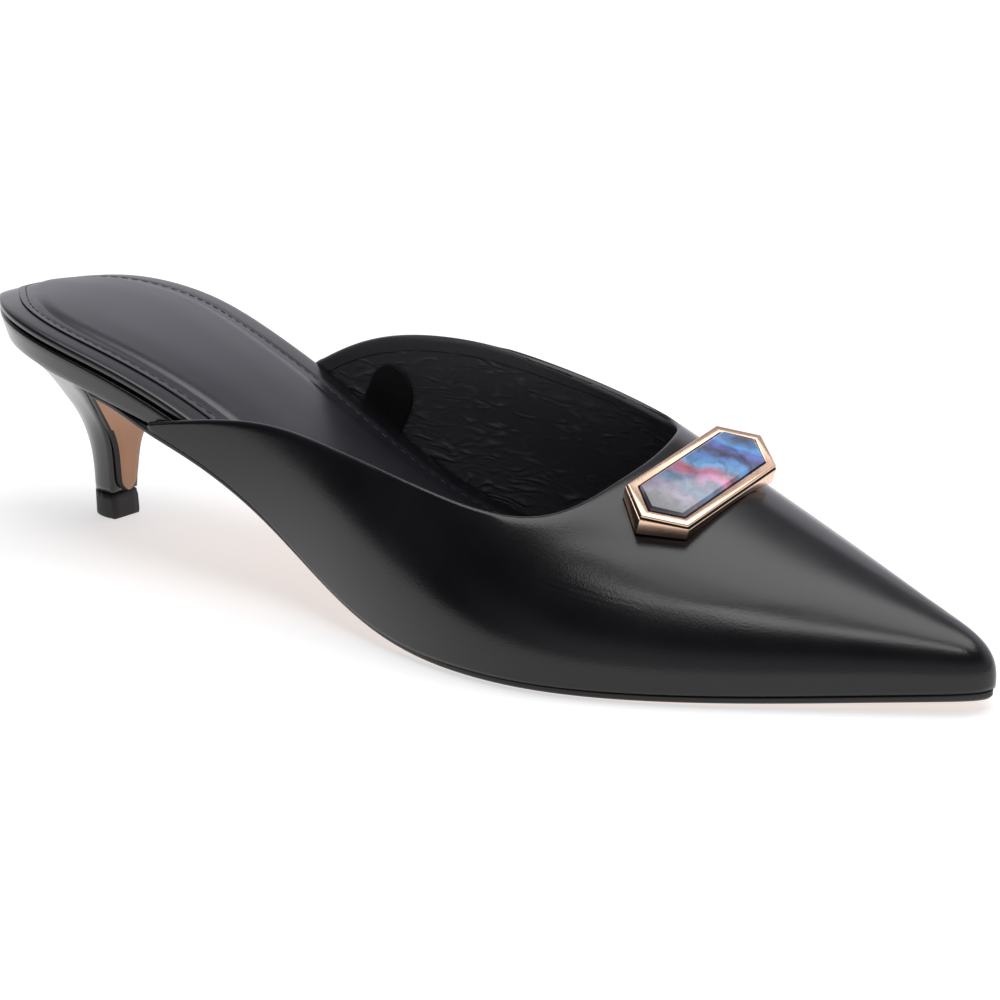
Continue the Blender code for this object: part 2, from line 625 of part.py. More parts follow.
def build_outsole():
    """The leather outsole from toe to heel, with its tongue turned down over the heel's front face."""
    shares = stations(outline_share((BREAST_SETBACK + 4 * MM) / SHOE_LENGTH), 1.0, 26)[::-1]
    bevel = 0.35 * SOLE_THICKNESS
    sections = []
    for share in shares:
        section = []
        for side in (-1, 1):
            middle = OUTLINE_CURVE.edge(side, share)
            grow = sole_half_widths(middle[0])
            edge = OUTLINE_CURVE.edge(side, share, grow)
            inner = OUTLINE_CURVE.edge(side, share, grow - bevel)
            top = insole_bottom(edge[0]) - FIT_GAP
            under = insole_bottom(inner[0]) - FIT_GAP - SOLE_THICKNESS
            column = [(*edge, top), (*edge, top - SOLE_THICKNESS + bevel), (*inner, under)]
            section += column if side < 0 else column[::-1]
        sections.append(section)
    floor = TIP_HEIGHT + FIT_GAP
    flap_height = heel_top_height() - floor
    round_ups = FLAP_LIFT / flap_height + FLAP_ROUND / flap_height * (1 - np.sin(np.linspace(0.2, 1.5, 6)))
    for up in [0.985, 0.93, 0.86, 0.77, 0.66, 0.54, 0.42, 0.30, *round_ups]:
        front, half = breast_line(up)
        rounded = np.clip((up * flap_height - FLAP_LIFT) / FLAP_ROUND, 0, 1)
        half = max((half - FLAP_MARGIN) * math.sqrt(1 - (1 - rounded) ** 2), FLAP_THICKNESS)
        height = floor + flap_height * up
        back = front + FIT_GAP
        outer, side = back + FLAP_THICKNESS, half - FLAP_THICKNESS / 2
        edge = [(back, -half, height), (outer - FLAP_THICKNESS / 2, -half, height), (outer, -side, height)]
        sections.append(edge + [(x, -y, z) for x, y, z in reversed(edge)])
    points = [p for section in sections for p in section]
    faces = ring_faces(len(sections), 6)
    last = (len(sections) - 1) * 6
    faces += [tuple(range(6)), tuple(range(last, last + 6))]
    return make_piece("outsole", points, faces, (0.42, 0.22, 0.12), 0.45)


def hexagon(inset=0.0, parts=5):
    """Plan points of the ornament's outline moved inward, anticlockwise, with each edge in equal parts."""
    half = math.atan2(ORNAMENT_WIDTH / 2, ORNAMENT_POINT)
    end = ORNAMENT_LENGTH / 2 - inset / math.sin(half)
    side = ORNAMENT_WIDTH / 2 - inset
    shoulder = end - side / math.tan(half)
    half_ring = [(end, 0), (shoulder, side), (-shoulder, side)]
    corners = np.array(half_ring + [(-x, -y) for x, y in half_ring])
    steps = np.arange(parts)[:, None] / parts
    return np.concatenate([a + (b - a) * steps for a, b in zip(corners, np.roll(corners, -1, axis=0))])


class VampSeat:
    """Where the ornament sits: its centre, its length, width and upward directions, the vamp under it."""

    def __init__(self):
        share, rise = np.meshgrid(np.linspace(0.62, 0.90, 57), np.linspace(0.30, 1.60, 79), indexing="ij")
        points = last_point(share, rise)
        normals = grid_normals(points)
        place = (SHOE_LENGTH - ORNAMENT_BEHIND_TOE, ORNAMENT_ACROSS)
        nearest = np.linalg.norm(points[..., :2] - place, axis=-1).argmin()
        self.centre = points.reshape(-1, 3)[nearest]
        self.up = normals.reshape(-1, 3)[nearest]
        self.up *= np.sign(self.up[2])
        along = np.array([0.0, 1.0, 0.0])
        self.along = along - self.up * self.up[1]
        self.along /= np.linalg.norm(self.along)
        self.across = np.cross(self.up, self.along)
        local = (points.reshape(-1, 3) - self.centre) @ np.column_stack([self.along, self.across, self.up])
        near = (np.abs(local[:, 0]) < 24 * MM) & (np.abs(local[:, 1]) < 11 * MM)
        under = near & (local[:, 2] > -FRAME_DEPTH)
        self.surface = np.linalg.lstsq(self.terms(local[under, :2]), local[under, 2], rcond=None)[0]

    @staticmethod
    def terms(plan):
        """Powers of the two plan coordinates, up to the fourth, in centimetres."""
        u, w = (plan / (10 * MM)).T
        return np.column_stack([u**i * w**j for i in range(5) for j in range(5 - i)])

    def below(self, plan):
        """Height of the vamp at plan points, over the plane of the seat."""
        return self.terms(plan) @ self.surface

    def place(self, plan, height):
        """Solid points from plan points and heights over the seat's plane."""
        return (
            self.centre
            + plan[:, :1] * self.along
            + plan[:, 1:] * self.across
            + np.broadcast_to(height, len(plan))[:, None] * self.up
        )


def build_ornament_frame(seat):
    """The metal frame: its underside follows the vamp, its side is stepped, its rim rings the stone."""
    step_level = FRAME_HEIGHT - FRAME_STEP
    edge = hexagon()
    rings = []
    for scale in (0.2, 0.4, 0.6, 0.8, 1.0):
        plan = edge * scale
        rings.append(seat.place(plan, np.maximum(seat.below(plan) + FIT_GAP, FRAME_HEIGHT - FRAME_DEPTH)))
    for inset, height in (
        (0.0, step_level - 0.2 * MM),
        (0.2 * MM, step_level),
        (FRAME_STEP, step_level),
        (FRAME_STEP + 0.15 * MM, FRAME_HEIGHT - 0.15 * MM),
        (FRAME_STEP + 0.3 * MM, FRAME_HEIGHT),
        (FRAME_RIM, FRAME_HEIGHT),
        (FRAME_RIM, FRAME_HEIGHT - RECESS_DEPTH),
    ):
        rings.append(seat.place(hexagon(inset), height))
    sides = len(edge)
    points = [*rings, seat.place(np.zeros((1, 2)), seat.below(np.zeros((1, 2))) + FIT_GAP)]
    centre, last = len(rings) * sides, (len(rings) - 1) * sides
    faces = ring_faces(len(rings), sides)
    faces += [(centre, (k + 1) % sides, k) for k in range(sides)]
    faces.append(tuple(range(last, last + sides)))
    return make_piece("ornament_frame", np.concatenate(points), faces, (0.80, 0.50, 0.38), 0.22, metallic=1.0)


def build_ornament_stone(seat):
    """The flat stone with its bevelled edge, in the frame's bed."""
    bed, inset = FRAME_HEIGHT - RECESS_DEPTH + FIT_GAP, FRAME_RIM + FIT_GAP
    top = FRAME_HEIGHT + STONE_RISE
    levels = ((inset, bed), (inset, FRAME_HEIGHT), (inset + STONE_BEVEL, top))
    rings = [seat.place(hexagon(level_inset, 1), height) for level_inset, height in levels]
    faces = ring_faces(3, 6) + [tuple(range(6)), tuple(range(12, 18))]
    return make_piece("ornament_stone", np.concatenate(rings), faces, (0.42, 0.43, 0.52), 0.18)


def main():
    """Clears the scene and builds the shoe, piece by piece."""
    for old in list(bpy.data.objects):
        bpy.data.objects.remove(old, do_unlink=True)
    build_outsole()
    build_insole()
    build_footbed()
    build_sock()
    build_upper()
    build_heel()
    build_heel_tip()
    seat = VampSeat()
    build_ornament_frame(seat)
    build_ornament_stone(seat)


main()
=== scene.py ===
"""A kitten heel mule in black leather with a long ornament across its vamp, dressed and lit."""

import json
import logging
import math
from collections.abc import Callable, Iterator
from contextlib import contextmanager
from dataclasses import dataclass, field
from enum import Enum

import bmesh
import bpy
from mathutils import Euler, Matrix, Vector
from mathutils.bvhtree import BVHTree
from mathutils.kdtree import KDTree

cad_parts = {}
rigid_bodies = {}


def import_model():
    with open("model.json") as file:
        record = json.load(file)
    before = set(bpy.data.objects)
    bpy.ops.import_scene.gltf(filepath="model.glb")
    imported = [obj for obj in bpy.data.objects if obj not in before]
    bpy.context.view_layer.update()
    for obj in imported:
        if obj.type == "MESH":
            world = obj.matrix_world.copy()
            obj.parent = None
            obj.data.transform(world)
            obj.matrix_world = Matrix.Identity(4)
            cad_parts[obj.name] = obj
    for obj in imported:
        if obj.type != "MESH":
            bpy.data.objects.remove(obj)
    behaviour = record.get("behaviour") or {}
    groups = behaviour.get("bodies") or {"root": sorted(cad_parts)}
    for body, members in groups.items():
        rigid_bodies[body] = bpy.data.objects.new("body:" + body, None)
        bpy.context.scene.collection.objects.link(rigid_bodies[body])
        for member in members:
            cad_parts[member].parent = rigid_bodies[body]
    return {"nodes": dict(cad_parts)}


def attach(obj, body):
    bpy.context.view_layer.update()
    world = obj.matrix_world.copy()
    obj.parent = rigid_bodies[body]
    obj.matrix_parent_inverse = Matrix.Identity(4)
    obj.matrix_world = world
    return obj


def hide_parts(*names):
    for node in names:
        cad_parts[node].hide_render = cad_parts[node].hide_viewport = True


MM = 0.001
LOG = logging.getLogger("mule")


# Colours and nodes


def linear(colour: str) -> tuple[float, float, float, float]:
    """Turns an sRGB hex colour into linear red, green, blue and alpha.

    Args:
        colour: Six hex digits after a hash.

    Returns:
        The linear colour with full alpha.
    """
    parts = [int(colour[i : i + 2], 16) / 255 for i in (1, 3, 5)]
    return (*[p / 12.92 if p <= 0.04045 else ((p + 0.055) / 1.055) ** 2.4 for p in parts], 1.0)


def add_node(tree: bpy.types.NodeTree, kind: str, sockets: dict | None = None, **settings) -> bpy.types.Node:
    """Adds a shader node with its settings, socket values and links.

    Args:
        tree: The node tree that gets the node.
        kind: The node's type without the leading "ShaderNode".
        sockets: Input name or number to its value, or to the output socket that feeds it.
        **settings: Attributes of the node itself.

    Returns:
        The new node.
    """
    node = tree.nodes.new("ShaderNode" + kind)
    for name, value in settings.items():
        setattr(node, name, value)
    for name, value in (sockets or {}).items():
        if isinstance(value, bpy.types.NodeSocket):
            tree.links.new(value, node.inputs[name])
        else:
            node.inputs[name].default_value = value
    return node


def set_ramp(node: bpy.types.Node, stops: list[tuple[float, str]]) -> bpy.types.NodeSocket:
    """Sets a colour ramp's stops.

    Args:
        node: A colour ramp node.
        stops: Place from 0 to 1 and hex colour of each stop, in order.

    Returns:
        The ramp's colour output.
    """
    ramp = node.color_ramp
    while len(ramp.elements) < len(stops):
        ramp.elements.new(1.0)
    for element, (place, colour) in zip(ramp.elements, stops):
        element.position = place
        element.color = linear(colour)
    return node.outputs["Color"]


def map_range(
    tree: bpy.types.NodeTree,
    value: bpy.types.NodeSocket,
    source: tuple[float, float],
    target: tuple[float, float] = (0.0, 1.0),
) -> bpy.types.NodeSocket:
    """Maps a value from one range to another and holds it at the ends.

    Args:
        tree: The node tree.
        value: The output that holds the value.
        source: The range that the value comes in.
        target: The range that it goes to.

    Returns:
        The output with the mapped value.
    """
    sockets = {"Value": value}
    for side, limits in (("From", source), ("To", target)):
        sockets[side + " Min"], sockets[side + " Max"] = limits
    return add_node(tree, "MapRange", sockets).outputs["Result"]


def add_relief(
    tree: bpy.types.NodeTree,
    height: bpy.types.NodeSocket,
    depth: float,
    strength: float,
    under: bpy.types.NodeSocket | None = None,
) -> bpy.types.NodeSocket:
    """Turns a pattern into fine surface relief.

    Args:
        tree: The node tree.
        height: The output that holds the pattern.
        depth: How deep the relief is, in metres.
        strength: How much of it shows, 0 to 1.
        under: Relief that this one lies on, if any.

    Returns:
        The output for the shader's normal, or for the next relief.
    """
    sockets = {"Height": height, "Distance": depth, "Strength": strength}
    if under:
        sockets["Normal"] = under
    return add_node(tree, "Bump", sockets).outputs["Normal"]


def start_material(name: str) -> tuple[bpy.types.Material, bpy.types.NodeTree, bpy.types.Node]:
    """Starts a node material.

    Args:
        name: The material's name.

    Returns:
        The material, its node tree and its shader.
    """
    material = bpy.data.materials.new(name)
    material.use_nodes = True
    return material, material.node_tree, material.node_tree.nodes["Principled BSDF"]


# Modelling by hand


def deselect_all() -> None:
    """Leaves nothing selected in the scene."""
    bpy.ops.object.select_all(action="DESELECT")


def pick(piece: bpy.types.Object) -> None:
    """Makes a piece the only selected and active object."""
    deselect_all()
    piece.select_set(True)
    bpy.context.view_layer.objects.active = piece


@contextmanager
def editing(piece: bpy.types.Object, mode: str = "FACE") -> Iterator[None]:
    """Opens a piece in edit mode with nothing selected, and closes it again.

    Args:
        piece: The piece to edit.
        mode: VERT, EDGE or FACE selection.

    Yields:
        Nothing.
    """
    pick(piece)
    bpy.ops.object.mode_set(mode="EDIT")
    bpy.ops.mesh.select_mode(type=mode)
    bpy.ops.mesh.select_all(action="DESELECT")
    yield
    bpy.ops.object.mode_set(mode="OBJECT")


def select_faces(piece: bpy.types.Object, wanted: Callable[[bmesh.types.BMFace], bool]) -> None:
    """Selects the faces of the piece in edit mode that pass a test, and only those.

    Args:
        piece: The piece that is open in edit mode.
        wanted: The test of one face.
    """
    mesh = bmesh.from_edit_mesh(piece.data)
    for face in mesh.faces:
        face.select_set(False)
    for face in mesh.faces:
        if wanted(face):
            face.select_set(True)
    mesh.select_flush_mode()
    bmesh.update_edit_mesh(piece.data)


def merged_copy(node: bpy.types.Object, name: str) -> bpy.types.Object:
    """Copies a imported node's mesh, with its loose triangles merged into a skin of quads.

    Args:
        node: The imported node.
        name: The new piece's name.

    Returns:
        The new piece, at the origin.
    """
    piece = bpy.data.objects.new(name, node.data.copy())
    bpy.context.scene.collection.objects.link(piece)
    piece.data.materials.clear()
    with editing(piece):
        bpy.ops.mesh.select_all(action="SELECT")
        bpy.ops.mesh.remove_doubles(threshold=0.004 * MM)
        bpy.ops.mesh.tris_convert_to_quads(face_threshold=math.radians(50), shape_threshold=math.radians(70))
        bpy.ops.mesh.mark_sharp(clear=True)
    pick(piece)
    if piece.data.has_custom_normals:
        bpy.ops.mesh.customdata_custom_splitnormals_clear()
    return piece


def apply_modifier(piece: bpy.types.Object, kind: str, **settings) -> None:
    """Adds a modifier with its settings and applies it.

    Args:
        piece: The piece to change.
        kind: The modifier's type.
        **settings: The modifier's settings.
    """
    pick(piece)
    modifier = piece.modifiers.new(kind.title(), kind)
    for name, value in settings.items():
        setattr(modifier, name, value)
    bpy.ops.object.modifier_apply(modifier=modifier.name)


def refine(piece: bpy.types.Object, levels: int = 2) -> None:
    """Rounds a piece with a subdivision surface and shades it smooth."""
    apply_modifier(piece, "SUBSURF", levels=levels, render_levels=levels, use_creases=True)
    piece.data.shade_smooth()


def crease_sharp_edges(piece: bpy.types.Object, degrees: float, crease: float) -> None:
    """Creases the edges of a piece that turn by more than an angle.

    Args:
        piece: The piece to change.
        degrees: The angle between faces from which an edge counts.
        crease: How hard the edge stays under subdivision, 0 to 1.
    """
    with editing(piece, "EDGE"):
        bpy.ops.mesh.edges_select_sharp(sharpness=math.radians(degrees))
        bpy.ops.transform.edge_crease(value=crease)


def ease(value: float, low: float, high: float) -> float:
    """Eases from 0 at one value to 1 at another.

    Args:
        value: The value.
        low: Where the easing starts.
        high: Where it ends.

    Returns:
        A share from 0 to 1.
    """
    share = min(max((value - low) / (high - low), 0.0), 1.0)
    return share * share * (3 - 2 * share)


def stretch_toe(piece: bpy.types.Object, tip: float, reach: float = 22 * MM) -> None:
    """Draws a rounded piece's toe forward again, to where it was before it was rounded.

    Args:
        piece: The rounded piece.
        tip: Where its toe ended before, in metres along the shoe.
        reach: How much of its length is drawn forward.
    """
    now = max(vertex.co.x for vertex in piece.data.vertices)
    for vertex in piece.data.vertices:
        vertex.co.x += (tip - now) * ease(vertex.co.x, now - reach, now) ** 1.5


def surface_of(piece: bpy.types.Object) -> BVHTree:
    """Makes a tree of a piece's faces, to find points on it."""
    corners = [vertex.co for vertex in piece.data.vertices]
    return BVHTree.FromPolygons(corners, [tuple(face.vertices) for face in piece.data.polygons])


def under_edge(piece: bpy.types.Object) -> list[Vector]:
    """Walks round the lower edge of a layer.

    Args:
        piece: The layer, before it is rounded.

    Returns:
        The edge's points in order, from the one nearest the back of the seat.
    """
    mesh = bmesh.new()
    mesh.from_mesh(piece.data)
    links: dict[bmesh.types.BMVert, list[bmesh.types.BMVert]] = {}
    for edge in mesh.edges:
        if len(edge.link_faces) == 2 and len({face.normal.z < -0.5 for face in edge.link_faces}) == 2:
            for here, there in (edge.verts, reversed(edge.verts)):
                links.setdefault(here, []).append(there)
    path, last, here = [], None, min(links, key=lambda vertex: vertex.co.x)
    while not path or here is not path[0]:
        path.append(here)
        ahead = [vertex for vertex in links[here] if vertex is not last]
        last, here = here, ahead[0]
    points = [vertex.co.copy() for vertex in path]
    mesh.free()
    return points


def rounded(path: list[Vector], rounds: int = 2) -> list[Vector]:
    """Cuts the corners of a closed path, so that it runs round in a smooth line.

    Args:
        path: The path's points in order.
        rounds: How often every corner is cut.

    Returns:
        The smoother path.
    """
    for _ in range(rounds):
        path = [a.lerp(b, share) for a, b in zip(path, path[1:] + path[:1]) for share in (0.25, 0.75)]
    return path


def settle(piece: bpy.types.Object, slot: str, *nodes: str) -> None:
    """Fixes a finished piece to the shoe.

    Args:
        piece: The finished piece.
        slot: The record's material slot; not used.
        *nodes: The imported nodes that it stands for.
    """
    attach(piece, "root")
    if nodes:
        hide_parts(*nodes)
    LOG.info("%s: %d faces", piece.name, len(piece.data.polygons))


# Finishes


@dataclass(frozen=True)
class Leather:
    """Full-grain calf, dyed through and finished: satin with a fine pore grain that softens its highlights.

    Attributes:
        name: The material's name.
        colour: Dye colour.
        worn: Colour of the lighter, rubbed patches.
        roughness: Middle roughness of the finish.
        coat: Weight of the clear finish on top.
        coat_roughness: Roughness of the clear finish.
        gleam: Specular level, where 0.5 is a plain clear finish.
        grain: Spacing of the pores in metres.
        grain_depth: Depth of the pores in metres.
        wave: Spacing of the soft unevenness under the finish, in metres.
        wave_depth: Depth of that unevenness in metres.
        patch: Spacing of the rubbed patches in metres.
        uneven: How much the roughness strays to either side.
    """

    name: str
    colour: str
    worn: str
    roughness: float
    coat: float
    coat_roughness: float
    gleam: float = 0.4
    grain: float = 0.38 * MM
    grain_depth: float = 0.022 * MM
    wave: float = 16 * MM
    wave_depth: float = 0.05 * MM
    patch: float = 18 * MM
    uneven: float = 0.03

    def material(self) -> bpy.types.Material:
        """Builds the material.

        Returns:
            The leather.
        """
        material, tree, shader = start_material(self.name)
        place = add_node(tree, "TexCoord").outputs["Object"]
        noise = add_node(tree, "TexNoise", {"Vector": place, "Scale": 1 / self.patch, "Detail": 3.0})
        patches = noise.outputs["Fac"]
        dye = add_node(tree, "ValToRGB", {"Fac": patches})
        tree.links.new(set_ramp(dye, [(0.35, self.colour), (0.75, self.worn)]), shader.inputs["Base Color"])
        strayed = (self.roughness - self.uneven, self.roughness + self.uneven)
        tree.links.new(map_range(tree, patches, (0.3, 0.7), strayed), shader.inputs["Roughness"])
        pores = add_node(tree, "TexVoronoi", {"Vector": place, "Scale": 1 / self.grain})
        hide = add_relief(tree, pores.outputs["Distance"], self.grain_depth, 0.6)
        swell = add_node(tree, "TexNoise", {"Vector": place, "Scale": 1 / self.wave, "Detail": 1.0})
        soft = add_relief(tree, swell.outputs["Fac"], self.wave_depth, 1.0, hide)
        tree.links.new(soft, shader.inputs["Normal"])
        shader.inputs["Specular IOR Level"].default_value = self.gleam
        shader.inputs["Coat Weight"].default_value = self.coat
        shader.inputs["Coat Roughness"].default_value = self.coat_roughness
        return material


@dataclass(frozen=True)
class CreasedLining:
    """Thin glazed kid lining, glued over the inner wall: wrinkled in fine folds, up to the turned-in topline.
    Its folds are painted darker as shade and its ridges lighter as a highlight. Both colours are lifted above
    the kid's near-black dye as painted light inside the shoe.

    Attributes:
        name: The material's name.
        colour: Colour in the folds: painted shade against the ridges, and lifted above the kid's dye as
            painted light.
        ridge: Colour of the ridges, lighter as a painted highlight.
        fold: Spacing of the wrinkles in metres.
        fold_depth: Depth of the wrinkles in metres.
        sweep: Spacing of the broad drift that bends them.
        wander: How far that drift bends them.
        turn_in: How far the outer leather is folded over the topline, in metres.
        step: Height of the fold's edge over the lining.
        step_run: Distance over which that edge drops.
        roughness: Its roughness.
    """

    name: str = "glazed kid lining"
    colour: str = "#525156"
    ridge: str = "#8A8990"
    fold: float = 2.6 * MM
    fold_depth: float = 1.1 * MM
    sweep: float = 9 * MM
    wander: float = 12 * MM
    turn_in: float = 3.4 * MM
    step: float = 0.5 * MM
    step_run: float = 0.25 * MM
    roughness: float = 0.38

    def material(self) -> bpy.types.Material:
        """Builds the material.

        Returns:
            The lining.
        """
        material, tree, shader = start_material(self.name)
        place = add_node(tree, "TexCoord").outputs["Object"]
        lie = add_node(
            tree,
            "Mapping",
            {"Vector": place, "Rotation": (0, 0.35, 0), "Scale": (0.55, 1.0, 1.5)},
        ).outputs["Vector"]
        drift = add_node(tree, "TexNoise", {"Vector": lie, "Scale": 1 / self.sweep, "Detail": 2.0})
        bent = add_node(
            tree,
            "VectorMath",
            {0: drift.outputs["Color"], 1: (self.wander, self.wander, self.wander), 2: lie},
            operation="MULTIPLY_ADD",
        )
        folds = add_node(
            tree,
            "TexNoise",
            {"Vector": bent.outputs["Vector"], "Scale": 1 / self.fold, "Detail": 4.0, "Roughness": 0.55},
            noise_type="RIDGED_MULTIFRACTAL",
        )
        gap = add_node(tree, "Attribute", attribute_name="below_topline").outputs["Fac"]
        inside = map_range(tree, gap, (self.turn_in, self.turn_in + self.step_run))
        crumple = add_node(tree, "Math", {0: folds.outputs["Fac"], 1: inside}, operation="MULTIPLY")
        crumple = crumple.outputs["Value"]
        drop = map_range(tree, inside, (0.0, 1.0), (1.0, 0.0))
        creased = add_relief(tree, crumple, self.fold_depth, 0.8)
        tree.links.new(add_relief(tree, drop, self.step, 1.0, creased), shader.inputs["Normal"])
        # Painted shade and highlight: the folds take the darker colour and the ridges the lighter one.
        fold_shade_and_highlight = set_ramp(add_node(tree, "ValToRGB", {"Fac": crumple}), [(0.1, self.colour), (0.9, self.ridge)])
        tree.links.new(fold_shade_and_highlight, shader.inputs["Base Color"])
        shader.inputs["Roughness"].default_value = self.roughness
        return material


@dataclass(frozen=True)
class PlainFinish:
    """A finish of one even colour, for rubber, ink, thread and bare sole leather: matte with a fine tooth.

    Attributes:
        name: The material's name.
        colour: Its colour.
        shade: A second, slightly different colour that clouds it.
        roughness: Its roughness.
        tooth: Spacing of the surface's grit in metres.
        tooth_depth: Depth of the grit in metres.
        cloud: Spacing of the clouding in metres.
    """

    name: str
    colour: str
    shade: str
    roughness: float
    tooth: float = 0.4 * MM
    tooth_depth: float = 0.02 * MM
    cloud: float = 12 * MM

    def material(self) -> bpy.types.Material:
        """Builds the material.

        Returns:
            The finish.
        """
        material, tree, shader = start_material(self.name)
        place = add_node(tree, "TexCoord").outputs["Object"]
        cloud = add_node(tree, "TexNoise", {"Vector": place, "Scale": 1 / self.cloud, "Detail": 4.0})
        cloud = add_node(tree, "ValToRGB", {"Fac": cloud.outputs["Fac"]})
        tree.links.new(set_ramp(cloud, [(0.3, self.colour), (0.75, self.shade)]), shader.inputs["Base Color"])
        grit = add_node(tree, "TexNoise", {"Vector": place, "Scale": 1 / self.tooth, "Detail": 2.0})
        tree.links.new(add_relief(tree, grit.outputs["Fac"], self.tooth_depth, 0.7), shader.inputs["Normal"])
        shader.inputs["Roughness"].default_value = self.roughness
        return material


@dataclass(frozen=True)
class BackdropPaper:
    """White backdrop paper with a painted glow: its emission lifts the shadows round the shoe, leaving faint
    ones, and grows brighter away from the shoe.

    Attributes:
        name: The material's name.
        colour: Its colour.
        near: Distance from the shoe from which its painted glow grows brighter, in metres.
        far: Distance at which the painted glow is brightest.
        glow: Painted glow near the shoe and far from it, which stands in for light on the paper.
    """

    name: str = "white backdrop paper"
    colour: str = "#CCCCCC"
    near: float = 0.4
    far: float = 1.6
    glow: tuple[float, float] = (0.6, 1.1)

    def material(self) -> bpy.types.Material:
        """Builds the material.

        Returns:
            The paper.
        """
        material, tree, shader = start_material(self.name)
        place = add_node(tree, "TexCoord").outputs["Object"]
        away = add_node(tree, "VectorMath", {0: place}, operation="LENGTH").outputs["Value"]
        # Painted light: the paper's emission lifts its shadows and grows brighter away from the shoe.
        glow = map_range(tree, away, (self.near, self.far), self.glow)
        tree.links.new(glow, shader.inputs["Emission Strength"])
        shader.inputs["Emission Color"].default_value = (1.0, 1.0, 1.0, 1.0)
        shader.inputs["Base Color"].default_value = linear(self.colour)
        shader.inputs["Roughness"].default_value = 0.9
        return material


@dataclass(frozen=True)
class RoseGoldPlate:
    """Zinc casting, polished and plated in rose gold: clear warm reflections, softly waved by the wheel.

    Attributes:
        name: The material's name.
        colour: Colour of the plating.
        roughness: Its roughness where it is best polished, and where least.
        buff: Spacing of the waves that the wheel leaves, in metres.
        buff_depth: Their depth.
    """

    name: str = "rose gold plate"
    colour: str = "#ECC8AE"
    roughness: tuple[float, float] = (0.16, 0.26)
    buff: float = 3 * MM
    buff_depth: float = 0.02 * MM

    def material(self) -> bpy.types.Material:
        """Builds the material.

        Returns:
            The plating.
        """
        material, tree, shader = start_material(self.name)
        place = add_node(tree, "TexCoord").outputs["Object"]
        buff = add_node(tree, "TexNoise", {"Vector": place, "Scale": 1 / self.buff, "Detail": 3.0})
        buff = buff.outputs["Fac"]
        tree.links.new(map_range(tree, buff, (0.0, 1.0), self.roughness), shader.inputs["Roughness"])
        tree.links.new(add_relief(tree, buff, self.buff_depth, 0.4), shader.inputs["Normal"])
        shader.inputs["Base Color"].default_value = linear(self.colour)
        shader.inputs["Metallic"].default_value = 1.0
        return material


@dataclass(frozen=True)
class PearlShell:
    """Dyed mother-of-pearl under clear resin: glossy grey layers with drifting blue, pink and red lights.

    Attributes:
        name: The material's name.
        half: Half of the stone's length in metres.
        drift: How far the layers wander in metres.
        swirl: Spacing of that wandering.
        layer: Spacing of the fine grey layers.
        ember: Where the small red light lies, along and across the stone.
        ember_size: Distance from its middle at which it starts to fade, and at which it ends.
        ember_colour: Its colour.
        bands: Place along the stone from 0 to 1 and colour of each light.
    """

    name: str = "dyed mother of pearl"
    half: float = 17 * MM
    drift: float = 11 * MM
    swirl: float = 8 * MM
    layer: float = 3.5 * MM
    ember: tuple[float, float, float] = (4 * MM, 3 * MM, 0.0)
    ember_size: tuple[float, float] = (0.4 * MM, 2.6 * MM)
    ember_colour: str = "#C25A50"
    bands: tuple[tuple[float, str], ...] = (
        (0.00, "#383742"),
        (0.08, "#7C7A8C"),
        (0.17, "#AFA0BA"),
        (0.25, "#6F93B4"),
        (0.33, "#9492B2"),
        (0.40, "#EE8EC4"),
        (0.46, "#C98298"),
        (0.52, "#7CBDF0"),
        (0.61, "#6CA2E8"),
        (0.68, "#504E6C"),
        (0.75, "#7280D4"),
        (0.84, "#6FB0F4"),
        (0.93, "#525268"),
        (1.00, "#302F3A"),
    )

    def material(self) -> bpy.types.Material:
        """Builds the material.

        Returns:
            The shell.
        """
        material, tree, shader = start_material(self.name)
        place = add_node(tree, "Attribute", attribute_name="shell_place").outputs["Vector"]
        warp = add_node(tree, "TexNoise", {"Vector": place, "Scale": 1 / self.swirl, "Detail": 3.0})
        bent = add_node(
            tree,
            "VectorMath",
            {0: warp.outputs["Color"], 1: (self.drift, self.drift, 0.0), 2: place},
            operation="MULTIPLY_ADD",
        ).outputs["Vector"]
        lean = add_node(tree, "VectorMath", {0: bent, 1: (1.0, -0.35, 0.0)}, operation="DOT_PRODUCT")
        reach = (-self.half + self.drift / 2, self.half + self.drift / 2)
        along = map_range(tree, lean.outputs["Value"], reach)
        bands = set_ramp(add_node(tree, "ValToRGB", {"Fac": along}), list(self.bands))
        spot = add_node(tree, "VectorMath", {0: bent, 1: self.ember}, operation="DISTANCE")
        heat = map_range(tree, spot.outputs["Value"], self.ember_size, (0.75, 0.0))
        warm = add_node(tree, "Mix", {0: heat, 6: bands, 7: linear(self.ember_colour)}, data_type="RGBA")
        layers = add_node(tree, "TexNoise", {"Vector": bent, "Scale": 1 / self.layer, "Detail": 5.0})
        veil = set_ramp(
            add_node(tree, "ValToRGB", {"Fac": layers.outputs["Fac"]}),
            [(0.33, "#5F5D70"), (0.6, "#FFFFFF")],
        )
        blend = add_node(
            tree,
            "Mix",
            {0: 0.7, 6: warm.outputs[2], 7: veil},
            data_type="RGBA",
            blend_type="MULTIPLY",
        )
        tree.links.new(blend.outputs[2], shader.inputs["Base Color"])
        shader.inputs["Roughness"].default_value = 0.28
        shader.inputs["Coat Weight"].default_value = 1.0
        shader.inputs["Coat Roughness"].default_value = 0.1
        return material


# Depth of the grain in leather that is stretched tight over a form, and in leather that is pressed flat.
TIGHT = 0.01 * MM
PRESSED = 0.012 * MM


# The shoe's parts


class Wall(Enum):
    """The two sides of the upper's wall, as the order of its materials."""

    LEATHER = 0
    LINING = 1


class Sole(Enum):
    """The two finishes of the outsole, as the order of its materials."""

    LEATHER = 0
    INK = 1


class Bezel(Enum):
    """The ornament frame's plating and the painted shade in its bed and groove, as the order of its
    materials.
    """

    PLATE = 0
    BLACK = 1


